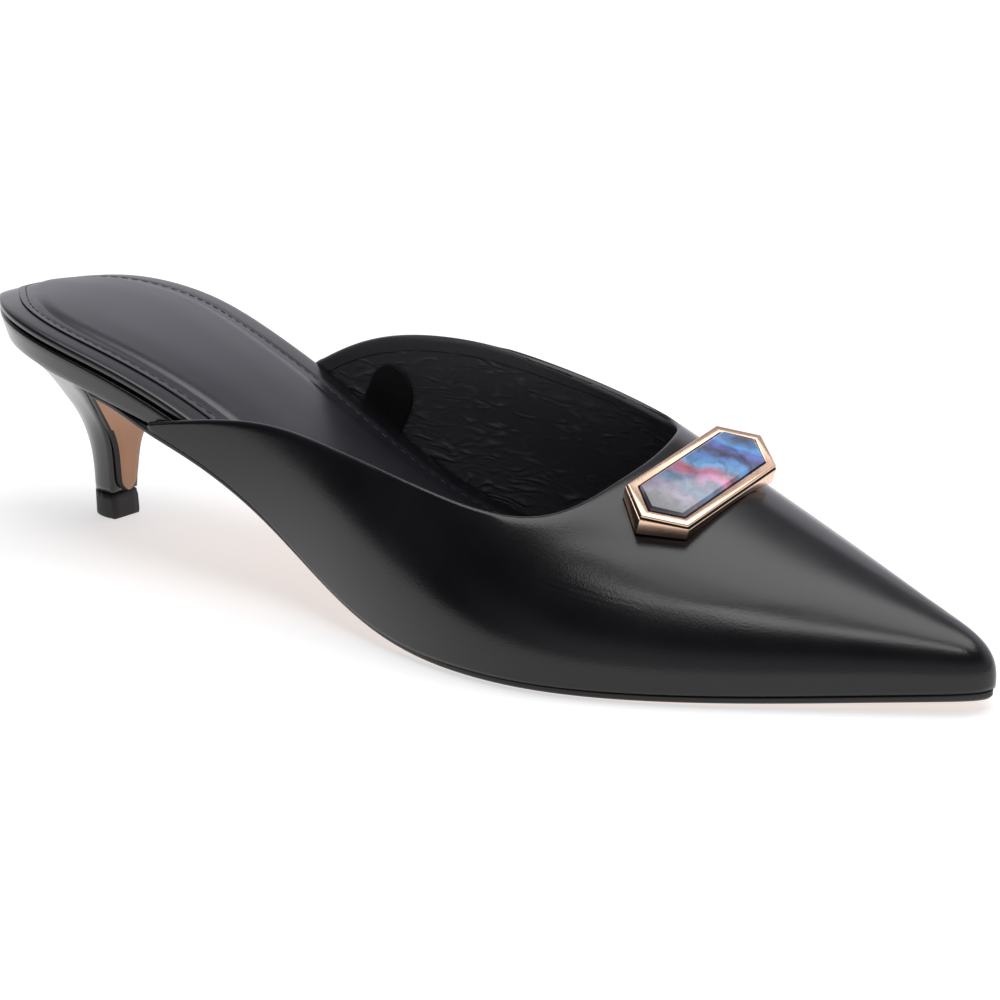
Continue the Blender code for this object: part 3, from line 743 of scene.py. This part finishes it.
@dataclass(frozen=True)
class Crease:
    """A soft trough or ridge in the leather, along a path.

    Attributes:
        path: Points of its middle line in metres.
        rise: Height of a ridge, or depth of a trough as a negative number.
        width: How far to either side it fades.
    """

    path: tuple[tuple[float, float, float], ...]
    rise: float
    width: float

    def distance(self, point: Vector) -> float:
        """Measures the gap between a point and the middle line.

        Args:
            point: The point in metres.

        Returns:
            The shortest distance.
        """
        best = math.inf
        for start, end in zip(self.path, self.path[1:]):
            low, run = Vector(start), Vector(end) - Vector(start)
            share = min(max((point - low).dot(run) / run.length_squared, 0.0), 1.0)
            best = min(best, (point - low - run * share).length)
        return best


@dataclass
class Upper:
    """The vamp: one leather wall, lined, with the outer leather folded over its topline.

    Attributes:
        node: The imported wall.
        cavity: Points along the middle of the inside, as (x, y, z) in metres from heel to toe.
        creases: The soft troughs and ridges of the outer leather.
        tab_foot: Middle of the lining tab's lower end.
        tab_top: Middle of its rounded top.
        tab_width: Its width.
        tab_start: Where it starts from, inside the shoe, before it is pressed on to the wall.
        tab_gap: How far its inner face ends from the wall.
        tab_thickness: Its thickness.
        tab_edge: Width of the rounding of its edge.
        piece: The finished wall.
        tab: The finished lining tab.
    """

    node: bpy.types.Object
    cavity: tuple[tuple[float, float, float], ...] = (
        (0.040, 0.000, 0.048),
        (0.062, 0.001, 0.038),
        (0.082, 0.001, 0.029),
        (0.102, 0.000, 0.021),
        (0.122, -0.001, 0.018),
        (0.150, 0.000, 0.016),
        (0.172, 0.001, 0.015),
        (0.195, 0.003, 0.014),
    )
    creases: tuple["Crease", ...] = ()
    tab_foot: tuple[float, float, float] = (0.0625, 0.0, 0.0262)
    tab_top: tuple[float, float, float] = (0.0700, 0.0, 0.0403)
    tab_width: float = 12.5 * MM
    tab_start: float = 14 * MM
    tab_gap: float = 0.25 * MM
    tab_thickness: float = 0.55 * MM
    tab_edge: float = 0.2 * MM
    piece: bpy.types.Object | None = None
    tab: bpy.types.Object | None = None

    def axis(self, x: float) -> Vector:
        """Finds the middle of the cavity at a place along the shoe.

        Args:
            x: Place along the shoe in metres.

        Returns:
            The point.
        """
        stops = self.cavity
        x = min(max(x, stops[0][0]), stops[-1][0])
        for low, high in zip(stops, stops[1:]):
            if x <= high[0]:
                part = (x - low[0]) / (high[0] - low[0])
                return Vector(low).lerp(Vector(high), part)
        return Vector(stops[-1])

    def faces_in(self, centre: Vector, normal: Vector) -> bool:
        """Tells whether a face of the wall looks into the shoe."""
        return (centre - self.axis(centre.x)).dot(normal) < 0

    def build(self) -> None:
        """Rounds a copy of the wall, sorts its faces into leather and lining and works in its creases."""
        piece = merged_copy(self.node, "upper_leather")
        crease_sharp_edges(piece, 70, 0.55)
        tip = max(vertex.co.x for vertex in piece.data.vertices)
        self.piece = piece
        refine(piece, 2)
        stretch_toe(piece, tip)
        for face in piece.data.polygons:
            side = Wall.LINING if self.faces_in(face.center, face.normal) else Wall.LEATHER
            face.material_index = side.value
        for crease in self.creases:
            self.work_in(crease)
        self.mark_topline()
        self.build_tab()

    def work_in(self, crease: "Crease") -> None:
        """Presses a soft trough into the outer leather, or raises a ridge.

        Args:
            crease: The trough or ridge.
        """
        mesh = self.piece.data
        outer = {
            corner
            for face in mesh.polygons
            if face.material_index == Wall.LEATHER.value
            for corner in face.vertices
        }
        moves = []
        for number in outer:
            vertex = mesh.vertices[number]
            gap = crease.distance(vertex.co)
            if gap < 3 * crease.width:
                moves.append((vertex, vertex.normal * crease.rise * math.exp(-((gap / crease.width) ** 2))))
        for vertex, move in moves:
            vertex.co += move

    def build_tab(self) -> None:
        """Lays a smooth round-topped tab on the lining of the inner wall."""
        deselect_all()
        bpy.ops.mesh.primitive_grid_add(x_subdivisions=14, y_subdivisions=16, size=2.0)
        tab = bpy.context.active_object
        tab.name = "lining_tab"
        low, high = Vector(self.tab_foot), Vector(self.tab_top)
        rise = high - low
        across = Vector((rise.z, 0.0, -rise.x)).normalized()
        for vertex in tab.data.vertices:
            u, v = vertex.co.x, (vertex.co.y + 1) / 2
            half = self.tab_width / 2 * math.sqrt(max(1 - max((v - 0.45) / 0.55, 0.0) ** 2.4, 0.0))
            place = low + rise * v + across * (u * max(half, 0.12 * self.tab_width))
            vertex.co = (place.x, self.tab_start, place.z)
        apply_modifier(
            tab,
            "SHRINKWRAP",
            target=self.piece,
            wrap_method="PROJECT",
            use_project_y=True,
            use_positive_direction=True,
            use_negative_direction=False,
            offset=self.tab_gap,
        )
        with editing(tab):
            bpy.ops.mesh.select_all(action="SELECT")
            bpy.ops.mesh.normals_make_consistent(inside=False)
            bpy.ops.mesh.solidify(thickness=self.tab_thickness)
            bpy.ops.mesh.normals_make_consistent(inside=False)
        apply_modifier(
            tab,
            "BEVEL",
            width=self.tab_edge,
            segments=2,
            limit_method="ANGLE",
            angle_limit=math.radians(50),
        )
        tab.data.shade_smooth()
        self.tab = tab

    def mark_topline(self) -> None:
        """Stores how far each point of the wall lies from the topline."""
        mesh = self.piece.data
        sides: dict[tuple[int, int], list[bpy.types.MeshPolygon]] = {}
        for face in mesh.polygons:
            for key in face.edge_keys:
                sides.setdefault(key, []).append(face)
        tops = []
        for key, pair in sides.items():
            if len(pair) != 2 or pair[0].material_index == pair[1].material_index:
                continue
            if (pair[0].normal + pair[1].normal).z > 0.2:
                tops.append((mesh.vertices[key[0]].co + mesh.vertices[key[1]].co) / 2)
        tree = KDTree(len(tops))
        for number, point in enumerate(tops):
            tree.insert(point, number)
        tree.balance()
        gaps = mesh.attributes.new("below_topline", "FLOAT", "POINT")
        for number, vertex in enumerate(mesh.vertices):
            gaps.data[number].value = tree.find(vertex.co)[2]

    def dress(self, leather: bpy.types.Material, lining: bpy.types.Material, tab: bpy.types.Material) -> None:
        """Gives the wall its outer leather and its lining, and the tab its leather."""
        self.piece.data.materials.append(leather)
        self.piece.data.materials.append(lining)
        settle(self.piece, "upper", "upper")
        self.tab.data.materials.append(tab)
        settle(self.tab, "upper")


@dataclass
class Footbed:
    """The footbed: a rolled rim, a stitched border and a padded middle.

    Attributes:
        bed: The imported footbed.
        sock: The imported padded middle.
        border: Width of the flat border round the padding.
        lift: How far the border's lowest layer lies over the rim.
        edge: Thickness of the border at its edge.
        edge_run: Where that thickness starts and is full, from the border's edge inwards.
        roll: Height of the padding's rolled edge over the border.
        roll_run: Distance over which that edge rises.
        dome: How far the padding rises further, towards its middle.
        dome_run: Distance over which it rises.
        seam: How far the seam runs inside the border's edge.
        seam_depth: Depth of the groove that the seam pulls.
        seam_width: How far to either side that groove fades.
        seam_end: Where the seam ends, well inside the vamp.
        pitch: Distance from stitch to stitch.
        stitch: Length of one stitch.
        thread: Thickness of the thread.
        sunk: How deep a stitch sinks in, as a share of its thread.
        crowding: How close stitches may come, as a share of their pitch.
        level: How level the leather must be to take a stitch, from 0 to 1.
        pieces: The finished pieces by name.
    """

    bed: bpy.types.Object
    sock: bpy.types.Object
    border: float = 3.4 * MM
    lift: float = 0.06 * MM
    edge: float = 0.28 * MM
    edge_run: tuple[float, float] = (-0.1 * MM, 0.3 * MM)
    roll: float = 0.7 * MM
    roll_run: float = 2.6 * MM
    dome: float = 0.35 * MM
    dome_run: float = 12 * MM
    seam: float = 1.8 * MM
    seam_depth: float = 0.12 * MM
    seam_width: float = 0.6 * MM
    seam_end: float = 130 * MM
    pitch: float = 2.6 * MM
    stitch: float = 2.3 * MM
    thread: float = 0.42 * MM
    sunk: float = 0.18
    crowding: float = 0.7
    level: float = 0.84
    pieces: dict[str, bpy.types.Object] = field(default_factory=dict)

    def build(self) -> None:
        """Models the rim, the padded middle and the seam."""
        bed = merged_copy(self.bed, "footbed_rim")
        refine(bed, 2)
        self.pieces["bed"] = bed
        pad = merged_copy(self.sock, "footbed_pad")
        edge = rounded(under_edge(pad))
        refine(pad, 3)
        self.fill(pad, edge)
        self.pieces["pad"] = pad
        self.sew(pad, edge)

    def fill(self, pad: bpy.types.Object, edge: list[Vector]) -> None:
        """Plumps the padding and sinks the seam's groove.

        Args:
            pad: The rounded sock.
            edge: The points of its lower edge.
        """
        dense = [a.lerp(b, k / 6) for a, b in zip(edge, edge[1:] + edge[:1]) for k in range(6)]
        tree = KDTree(len(dense))
        for number, point in enumerate(dense):
            tree.insert(point.xy.to_3d(), number)
        tree.balance()
        floor, above = surface_of(self.pieces["bed"]), Vector((0, 0, 5 * MM))
        for vertex in pad.data.vertices:
            under = floor.ray_cast(vertex.co + above, Vector((0, 0, -1)))[0]
            if under is None:
                continue
            gap = tree.find(vertex.co.xy.to_3d())[2]
            groove = math.exp(-(((gap - self.seam) / self.seam_width) ** 2))
            top = (
                under.z
                + self.lift
                + self.edge * ease(gap, *self.edge_run)
                + self.roll * ease(gap, self.border, self.border + self.roll_run)
                + self.dome * ease(gap, self.border, self.border + self.dome_run)
                - self.seam_depth * groove
            )
            vertex.co.z = top if vertex.normal.z > 0.05 else min(vertex.co.z, top)

    def sew(self, pad: bpy.types.Object, edge: list[Vector]) -> None:
        """Lays a row of stitches along the border, each pressed into the groove.

        Args:
            pad: The finished padded middle.
            edge: The points of its lower edge.
        """
        model = self.model_stitch()
        skin = surface_of(pad)
        turn = sum(a.x * b.y - b.x * a.y for a, b in zip(edge, edge[1:] + edge[:1]))
        copies, left, last = [], 0.0, None
        for start, end in zip(edge, edge[1:] + edge[:1]):
            run = end.xy - start.xy
            inward = Vector((-run.y, run.x)).normalized() * math.copysign(self.seam, turn)
            while left < run.length:
                place = start.xy + run * (left / run.length) + inward
                left += self.pitch
                crowded = last and (place - last).length < self.crowding * self.pitch
                if place.x > self.seam_end or crowded:
                    continue
                spot, normal = skin.ray_cast(Vector((*place, 0.2)), Vector((0, 0, -1)))[:2]
                if spot is None or abs(normal.z) < self.level:
                    continue
                normal *= math.copysign(1, normal.z)
                last = place
                way = (run.to_3d() - normal * normal.dot(run.to_3d())).normalized()
                pose = Matrix((way, normal.cross(way), normal)).transposed().to_4x4()
                pose.translation = spot - normal * self.sunk * self.thread
                copy = bpy.data.objects.new("stitch", model.data.copy())
                bpy.context.scene.collection.objects.link(copy)
                copy.data.transform(pose)
                copies.append(copy)
            left -= run.length
        bpy.data.objects.remove(model)
        pick(copies[0])
        for copy in copies:
            copy.select_set(True)
        bpy.ops.object.join()
        seam = bpy.context.active_object
        seam.name = "border_stitches"
        seam.data.shade_smooth()
        self.pieces["seam"] = seam

    def model_stitch(self) -> bpy.types.Object:
        """Models one stitch at the origin, along X: a short thread whose ends dip into the leather.

        Returns:
            The stitch.
        """
        deselect_all()
        bpy.ops.mesh.primitive_cylinder_add(
            vertices=8,
            radius=self.thread / 2,
            depth=self.stitch * 0.5,
            rotation=(0, math.pi / 2, 0),
        )
        stitch = bpy.context.active_object
        bpy.ops.object.transform_apply(rotation=True)
        with editing(stitch):
            for end in (-1, 1):
                select_faces(stitch, lambda face: face.normal.x * end > 0.9)
                dip = (end * self.stitch * 0.25, 0, -0.25 * self.thread)
                bpy.ops.mesh.extrude_region_move(TRANSFORM_OT_translate={"value": dip})
                bpy.ops.transform.resize(value=(1, 0.5, 0.5))
        return stitch

    def dress(self, rim: bpy.types.Material, pad: bpy.types.Material, thread: bpy.types.Material) -> None:
        """Gives the footbed its leathers and its thread."""
        self.pieces["bed"].data.materials.append(rim)
        self.pieces["pad"].data.materials.append(pad)
        self.pieces["seam"].data.materials.append(thread)
        settle(self.pieces["bed"], "footbed", "footbed")
        settle(self.pieces["pad"], "sock", "sock")
        settle(self.pieces["seam"], "sock")


@dataclass
class Bottom:
    """What carries the shoe: the covered insole, the outsole with its tongue, the heel and its top piece.

    Attributes:
        nodes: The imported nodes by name.
        tongue_end: Place along the shoe behind which the outsole turns down as its tongue.
        sole_lead: How far the outsole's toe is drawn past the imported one, so that it shows under the upper.
        pieces: The finished pieces by name.
    """

    nodes: dict[str, bpy.types.Object]
    tongue_end: float = 24 * MM
    sole_lead: float = 0.6 * MM
    pieces: dict[str, bpy.types.Object] = field(default_factory=dict)

    def build(self) -> None:
        """Rounds the edges of the band, the outsole, the heel and the top piece."""
        for name, new, degrees, crease in (
            ("insole", "insole_band", 30, 0.7),
            ("outsole", "sole_leather", 30, 0.8),
            ("heel", "heel_cover", 40, 0.85),
            ("heel_tip", "top_piece", 40, 0.85),
        ):
            piece = merged_copy(self.nodes[name], new)
            crease_sharp_edges(piece, degrees, crease)
            tip = max(vertex.co.x for vertex in piece.data.vertices)
            refine(piece, 2)
            if name in ("insole", "outsole"):
                stretch_toe(piece, tip + self.sole_lead * (name == "outsole"))
            self.pieces[name] = piece

    def dress(
        self,
        cover: bpy.types.Material,
        sole: bpy.types.Material,
        ink: bpy.types.Material,
        rubber: bpy.types.Material,
    ) -> None:
        """Gives each its finish; the outsole's rim is inked and its underside and tongue are bare.

        Args:
            cover: The leather over the insole and heel.
            sole: The bare sole leather.
            ink: The edge ink.
            rubber: The top piece's rubber.
        """
        self.pieces["insole"].data.materials.append(cover)
        self.pieces["heel"].data.materials.append(cover)
        self.pieces["heel_tip"].data.materials.append(rubber)
        outsole = self.pieces["outsole"]
        outsole.data.materials.append(sole)
        outsole.data.materials.append(ink)
        for face in outsole.data.polygons:
            tongue = face.center.x < self.tongue_end and face.normal.x - face.normal.z > 0.9
            bare = abs(face.normal.y) < 0.3 and (face.normal.z < -0.75 or tongue)
            face.material_index = (Sole.LEATHER if bare else Sole.INK).value
        for name in ("insole", "outsole", "heel", "heel_tip"):
            settle(self.pieces[name], name, name)


@dataclass
class Ornament:
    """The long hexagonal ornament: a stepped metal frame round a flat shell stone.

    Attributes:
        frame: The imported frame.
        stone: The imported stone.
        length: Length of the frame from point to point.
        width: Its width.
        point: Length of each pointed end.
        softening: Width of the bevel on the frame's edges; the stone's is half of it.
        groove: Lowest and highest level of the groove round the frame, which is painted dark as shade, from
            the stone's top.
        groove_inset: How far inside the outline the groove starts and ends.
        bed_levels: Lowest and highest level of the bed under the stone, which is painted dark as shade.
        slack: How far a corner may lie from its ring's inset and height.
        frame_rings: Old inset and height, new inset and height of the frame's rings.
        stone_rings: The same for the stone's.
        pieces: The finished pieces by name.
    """

    frame: bpy.types.Object
    stone: bpy.types.Object
    length: float = 40 * MM
    width: float = 15.8 * MM
    point: float = 5.6 * MM
    softening: float = 0.26 * MM
    groove: tuple[float, float] = (-1.64 * MM, -1.0 * MM)
    groove_inset: tuple[float, float] = (0.12 * MM, 0.7 * MM)
    bed_levels: tuple[float, float] = (-3 * MM, -0.9 * MM)
    slack: tuple[float, float] = (0.12 * MM, 0.09 * MM)
    frame_rings: tuple[tuple[float, ...], ...] = (
        (0.2 * MM, -1.5 * MM, 0.08 * MM, -1.5 * MM),
        (0.8 * MM, -1.5 * MM, 0.5 * MM, -1.62 * MM),
        (0.95 * MM, -0.85 * MM, 0.26 * MM, -1.1 * MM),
        (1.1 * MM, -0.7 * MM, 0.5 * MM, -0.7 * MM),
    )
    stone_rings: tuple[tuple[float, ...], ...] = (
        (2.4 * MM, -0.7 * MM, 2.4 * MM, -0.5 * MM),
        (3.9 * MM, 0.0 * MM, 2.95 * MM, 0.0 * MM),
    )
    pieces: dict[str, bpy.types.Object] = field(default_factory=dict)

    def seat(self) -> Matrix:
        """Finds the stone's own place: along it, across it towards the toe, and up from its top.

        Returns:
            The matrix from the stone's own coordinates to the shoe's.
        """
        mesh = self.stone.data
        up = max(mesh.polygons, key=lambda face: face.area * face.normal.z).normal.copy()
        corners = {tuple(round(c, 6) for c in vertex.co): vertex.co for vertex in mesh.vertices}.values()
        level = max(corner.dot(up) for corner in corners)
        top = [corner for corner in corners if corner.dot(up) > level - 0.05 * MM]
        along = max(top, key=lambda corner: corner.y) - min(top, key=lambda corner: corner.y)
        along = (along - up * along.dot(up)).normalized()
        seat = Matrix((along, along.cross(up), up)).transposed().to_4x4()
        seat.translation = sum(top, Vector()) / len(top)
        return seat

    def inset_of(self, place: Vector) -> float:
        """Measures how far a place lies inside the frame's outline.

        Args:
            place: The place in the stone's own coordinates.

        Returns:
            The distance to the nearest side.
        """
        half = math.atan2(self.width / 2, self.point)
        end = (self.length / 2 - abs(place.x)) * math.sin(half) - abs(place.y) * math.cos(half)
        return min(self.width / 2 - abs(place.y), end)

    def with_inset(self, place: Vector, inset: float, height: float) -> Vector:
        """Moves a corner of the frame or stone to another distance inside the outline, and another height.

        Args:
            place: The corner in the stone's own coordinates.
            inset: Its new distance inside the outline.
            height: Its new height.

        Returns:
            The moved corner.
        """
        now = self.inset_of(place)
        slant = math.sin(math.atan2(self.width / 2, self.point))
        along = (self.length / 2 - inset / slant) / (self.length / 2 - now / slant)
        across = (self.width / 2 - inset) / (self.width / 2 - now)
        return Vector((place.x * along, place.y * across, height))

    def reshape(self, piece: bpy.types.Object, seat: Matrix, rings: tuple[tuple[float, ...], ...]) -> None:
        """Moves whole rings of corners, each found by its old inset and height.

        Args:
            piece: The frame or the stone.
            seat: The matrix from the stone's own coordinates to the shoe's.
            rings: Old inset and height, new inset and height of each ring, in metres.
        """
        home = seat.inverted()
        for vertex in piece.data.vertices:
            place = home @ vertex.co
            for old_inset, old_height, inset, height in rings:
                near = abs(self.inset_of(place) - old_inset) < self.slack[0]
                if near and abs(place.z - old_height) < self.slack[1]:
                    vertex.co = seat @ self.with_inset(place, inset, height)
                    break

    def build(self) -> None:
        """Copies the frame and the stone, cuts a groove round the frame and softens the edges."""
        seat = self.seat()
        home = seat.inverted()
        turn = math.radians(25)
        for key, node, name, width, rings in (
            ("frame", self.frame, "ornament_bezel", self.softening, self.frame_rings),
            ("stone", self.stone, "ornament_shell", self.softening * 0.5, self.stone_rings),
        ):
            piece = merged_copy(node, name)
            self.reshape(piece, seat, rings)
            apply_modifier(piece, "BEVEL", width=width, segments=3, limit_method="ANGLE", angle_limit=turn)
            pick(piece)
            bpy.ops.object.shade_smooth_by_angle(angle=turn)
            self.pieces[key] = piece
        marks = self.pieces["stone"].data.attributes.new("shell_place", "FLOAT_VECTOR", "POINT")
        for number, vertex in enumerate(self.pieces["stone"].data.vertices):
            marks.data[number].vector = home @ vertex.co
        self.paint_shade_in_bed(home)

    def paint_shade_in_bed(self, home: Matrix) -> None:
        """Marks the walls and floor of the stone's bed and the groove round the frame, which get painted
        shade.

        Args:
            home: The matrix from the shoe's coordinates to the stone's own.
        """
        stone = [home @ vertex.co for vertex in self.pieces["stone"].data.vertices]
        rim = min(self.inset_of(place) for place in stone) - 0.4 * MM
        for face in self.pieces["frame"].data.polygons:
            place, way = home @ face.center, home.to_3x3() @ face.normal
            inset = self.inset_of(place)
            inward = place.xy.dot(way.xy) < 0 or way.z > 0.9
            # Painted shade: the bed under the stone and the groove round the frame take the dark finish.
            bed = inward and inset > rim and self.bed_levels[0] < place.z < self.bed_levels[1]
            groove = self.groove[0] < place.z < self.groove[1]
            groove = groove and self.groove_inset[0] < inset < self.groove_inset[1]
            face.material_index = (Bezel.BLACK if bed or groove else Bezel.PLATE).value

    def dress(self, plate: bpy.types.Material, bed: bpy.types.Material, shell: bpy.types.Material) -> None:
        """Gives the frame its plating and the painted shade of its bed and groove, and the stone its shell.
        """
        self.pieces["frame"].data.materials.append(plate)
        self.pieces["frame"].data.materials.append(bed)
        self.pieces["stone"].data.materials.append(shell)
        settle(self.pieces["frame"], "ornament_frame", "ornament_frame")
        settle(self.pieces["stone"], "ornament_stone", "ornament_stone")


# The studio


@dataclass(frozen=True)
class SoftBox:
    """A rectangular soft box overhead.

    Attributes:
        name: Its name.
        behind: How far behind the shoe it hangs, seen from the camera, in metres.
        aside: How far to the right of the shoe it hangs.
        height: How high it hangs over the shoe.
        width: Its size across the picture.
        depth: Its size away from the camera.
        radiance: How bright its face is, where white paper in full light is 1.
    """

    name: str
    behind: float
    aside: float
    height: float
    width: float
    depth: float
    radiance: float


@dataclass
class Studio:
    """A pale floor, soft light from above and behind, and the camera.

    Attributes:
        floor_size: Side of the floor in metres.
        target: What the lights look at.
        sideways: The level direction to the right across the picture.
        front_room: Height of the view from 0 to 1 and colour of the room on the camera's side.
        back_room: The same for the far side.
        turn_over: How far round, as the cosine from the far direction, the front turns into the back.
        dark_side: The same from the right: where the heel's side is darkest, and where it is open.
        darkness: Light that is left there.
        boxes: The soft boxes.
        camera_place: Where the camera stands.
        camera_turn: The camera's tilt, roll and heading in degrees.
        lens: Focal length in millimetres.
        sensor: Width of the sensor in millimetres.
    """

    floor_size: float = 12.0
    target: tuple[float, float, float] = (0.185, -0.015, 0.018)
    sideways: tuple[float, float, float] = (0.8078, 0.5895, 0.0)
    front_room: tuple[tuple[float, str], ...] = (
        (0.0, "#C0C0C3"),
        (0.3, "#BCBCBF"),
        (0.46, "#8C8C8E"),
        (0.6, "#424244"),
        (0.86, "#38383A"),
        (1.0, "#38383A"),
    )
    back_room: tuple[tuple[float, str], ...] = (
        (0.0, "#DCDCE4"),
        (0.28, "#E2E2EA"),
        (0.5, "#F4F4FC"),
        (0.6, "#D8D8E0"),
        (0.7, "#9C9CA4"),
        (0.82, "#94949C"),
        (1.0, "#38383A"),
    )
    turn_over: tuple[float, float] = (-0.2, 0.4)
    dark_side: tuple[float, float] = (-0.95, -0.35)
    darkness: float = 0.06
    boxes: tuple["SoftBox", ...] = (
        SoftBox("front_strip", -0.44, 0.185, 1.2, 0.71, 0.25, 4.0),
        SoftBox("back_box", 0.2, 0.1, 1.2, 1.6, 0.68, 2.4),
    )
    camera_place: tuple[float, float, float] = (0.3913, -0.3809, 0.1573)
    camera_turn: tuple[float, float, float] = (74.02, 0.0, 36.12)
    lens: float = 85.12
    sensor: float = 36.0

    def lay_floor(self, paper: bpy.types.Material) -> None:
        """Lays the floor under the shoe.

        Args:
            paper: The floor's finish.
        """
        deselect_all()
        bpy.ops.mesh.primitive_plane_add(size=self.floor_size, location=(0, 0, 0))
        floor = bpy.context.active_object
        floor.name = "studio_floor"
        floor.data.materials.append(paper)

    def light(self) -> None:
        """Sets a room, bright behind the shoe and dark on the heel's side, and two soft boxes overhead."""
        world = bpy.data.worlds.new("studio")
        bpy.context.scene.world = world
        world.use_nodes = True
        tree = world.node_tree
        toward = add_node(tree, "TexCoord").outputs["Generated"]
        height = add_node(tree, "SeparateXYZ", {"Vector": toward}).outputs["Z"]
        rooms = [
            set_ramp(add_node(tree, "ValToRGB", {"Fac": height}), stops)
            for stops in (self.front_room, self.back_room)
        ]
        away = Vector(self.sideways).cross(Vector((0, 0, -1)))
        facing = add_node(tree, "VectorMath", {0: toward, 1: away}, operation="DOT_PRODUCT")
        behind = map_range(tree, facing.outputs["Value"], self.turn_over)
        room = add_node(tree, "Mix", {0: behind, 6: rooms[0], 7: rooms[1]}, data_type="RGBA")
        aside = add_node(tree, "VectorMath", {0: toward, 1: Vector(self.sideways)}, operation="DOT_PRODUCT")
        open_side = map_range(tree, aside.outputs["Value"], self.dark_side, (self.darkness, 1.0))
        tree.links.new(room.outputs[2], tree.nodes["Background"].inputs["Color"])
        tree.links.new(open_side, tree.nodes["Background"].inputs["Strength"])
        for box in self.boxes:
            self.hang(box, away)

    def hang(self, box: "SoftBox", away: Vector) -> None:
        """Hangs a soft box that looks at the shoe, its long side across the picture.

        Args:
            box: The soft box.
            away: The level direction from the camera to the shoe.
        """
        middle = Vector(self.target)
        place = middle + away * box.behind + Vector(self.sideways) * box.aside + Vector((0, 0, box.height))
        deselect_all()
        bpy.ops.object.light_add(type="AREA", location=place)
        light = bpy.context.active_object
        light.name = box.name
        light.data.shape = "RECTANGLE"
        light.data.size, light.data.size_y = box.width, box.depth
        light.data.energy = 4 * box.width * box.depth * box.radiance
        back = (place - middle).normalized()
        across = Vector(self.sideways)
        across = (across - back * across.dot(back)).normalized()
        light.rotation_euler = Matrix((across, back.cross(across), back)).transposed().to_euler()

    def place_camera(self) -> None:
        """Sets up the camera and the plain view transform."""
        deselect_all()
        bpy.ops.object.camera_add(location=self.camera_place)
        camera = bpy.context.active_object
        camera.rotation_euler = Euler([math.radians(a) for a in self.camera_turn])
        camera.data.lens = self.lens
        camera.data.sensor_width = self.sensor
        camera.data.clip_start = 0.01
        bpy.context.scene.camera = camera
        bpy.context.scene.view_settings.view_transform = "Standard"


# A soft trough along the outer side of the vamp, the ridge below it, and a dimple behind the ornament.
VAMP_CREASES = (
    Crease(
        (
            (0.160, -0.0250, 0.0246),
            (0.180, -0.0193, 0.0187),
            (0.194, -0.0128, 0.0166),
            (0.211, -0.0061, 0.0129),
        ),
        -0.03 * MM,
        2.4 * MM,
    ),
    Crease(
        (
            (0.1522, -0.0333, 0.0209),
            (0.1782, -0.0222, 0.0174),
            (0.1893, -0.0164, 0.0162),
            (0.2000, -0.0111, 0.0148),
            (0.2130, -0.0045, 0.0128),
        ),
        0.03 * MM,
        2.2 * MM,
    ),
    Crease(((0.150, -0.026, 0.0272), (0.160, -0.021, 0.0262)), -0.12 * MM, 3.5 * MM),
)


def main() -> None:
    """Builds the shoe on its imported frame, part by part, and sets it in the studio."""
    logging.basicConfig(level=logging.INFO, format="%(name)s %(message)s")
    for leftover in list(bpy.data.objects):
        bpy.data.objects.remove(leftover)
    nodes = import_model()["nodes"]
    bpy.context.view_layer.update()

    nappa = Leather("black nappa", "#0E0D10", "#141316", 0.22, 0.1, 0.2)
    cover = Leather("black heel nappa", "#0D0D10", "#131316", 0.26, 0.5, 0.25, 0.5, grain_depth=TIGHT)
    rim = Leather("footbed rim nappa", "#151418", "#1A191D", 0.3, 0.3, 0.25, 0.6, grain_depth=PRESSED)
    pad = Leather("footbed nappa", "#222028", "#29272F", 0.3, 0.2, 0.3, 0.6, grain_depth=PRESSED)
    patch = Leather("smooth lining patch", "#18181B", "#1E1E21", 0.4, 0.0, 0.3, grain_depth=TIGHT)
    sole = PlainFinish("waxed sole leather", "#A98062", "#B58C6E", 0.5)
    ink = PlainFinish("edge ink", "#0B0B0C", "#121213", 0.4)
    # Painted shade for the bed under the stone and the groove round the frame.
    bed = PlainFinish("shade_painted bed", "#060607", "#09090A", 0.6)
    thread = PlainFinish("waxed thread", "#121115", "#19181C", 0.45)
    rubber = PlainFinish("moulded rubber", "#151516", "#1D1D1E", 0.55)

    upper = Upper(nodes["upper"], creases=VAMP_CREASES)
    upper.build()
    upper.dress(nappa.material(), CreasedLining().material(), patch.material())
    footbed = Footbed(nodes["footbed"], nodes["sock"])
    footbed.build()
    footbed.dress(rim.material(), pad.material(), thread.material())
    bottom = Bottom({name: nodes[name] for name in ("insole", "outsole", "heel", "heel_tip")})
    bottom.build()
    bottom.dress(cover.material(), sole.material(), ink.material(), rubber.material())
    ornament = Ornament(nodes["ornament_frame"], nodes["ornament_stone"])
    ornament.build()
    ornament.dress(RoseGoldPlate().material(), bed.material(), PearlShell().material())

    studio = Studio()
    studio.lay_floor(BackdropPaper().material())
    studio.light()
    studio.place_camera()


if __name__ == "__main__":
    main()
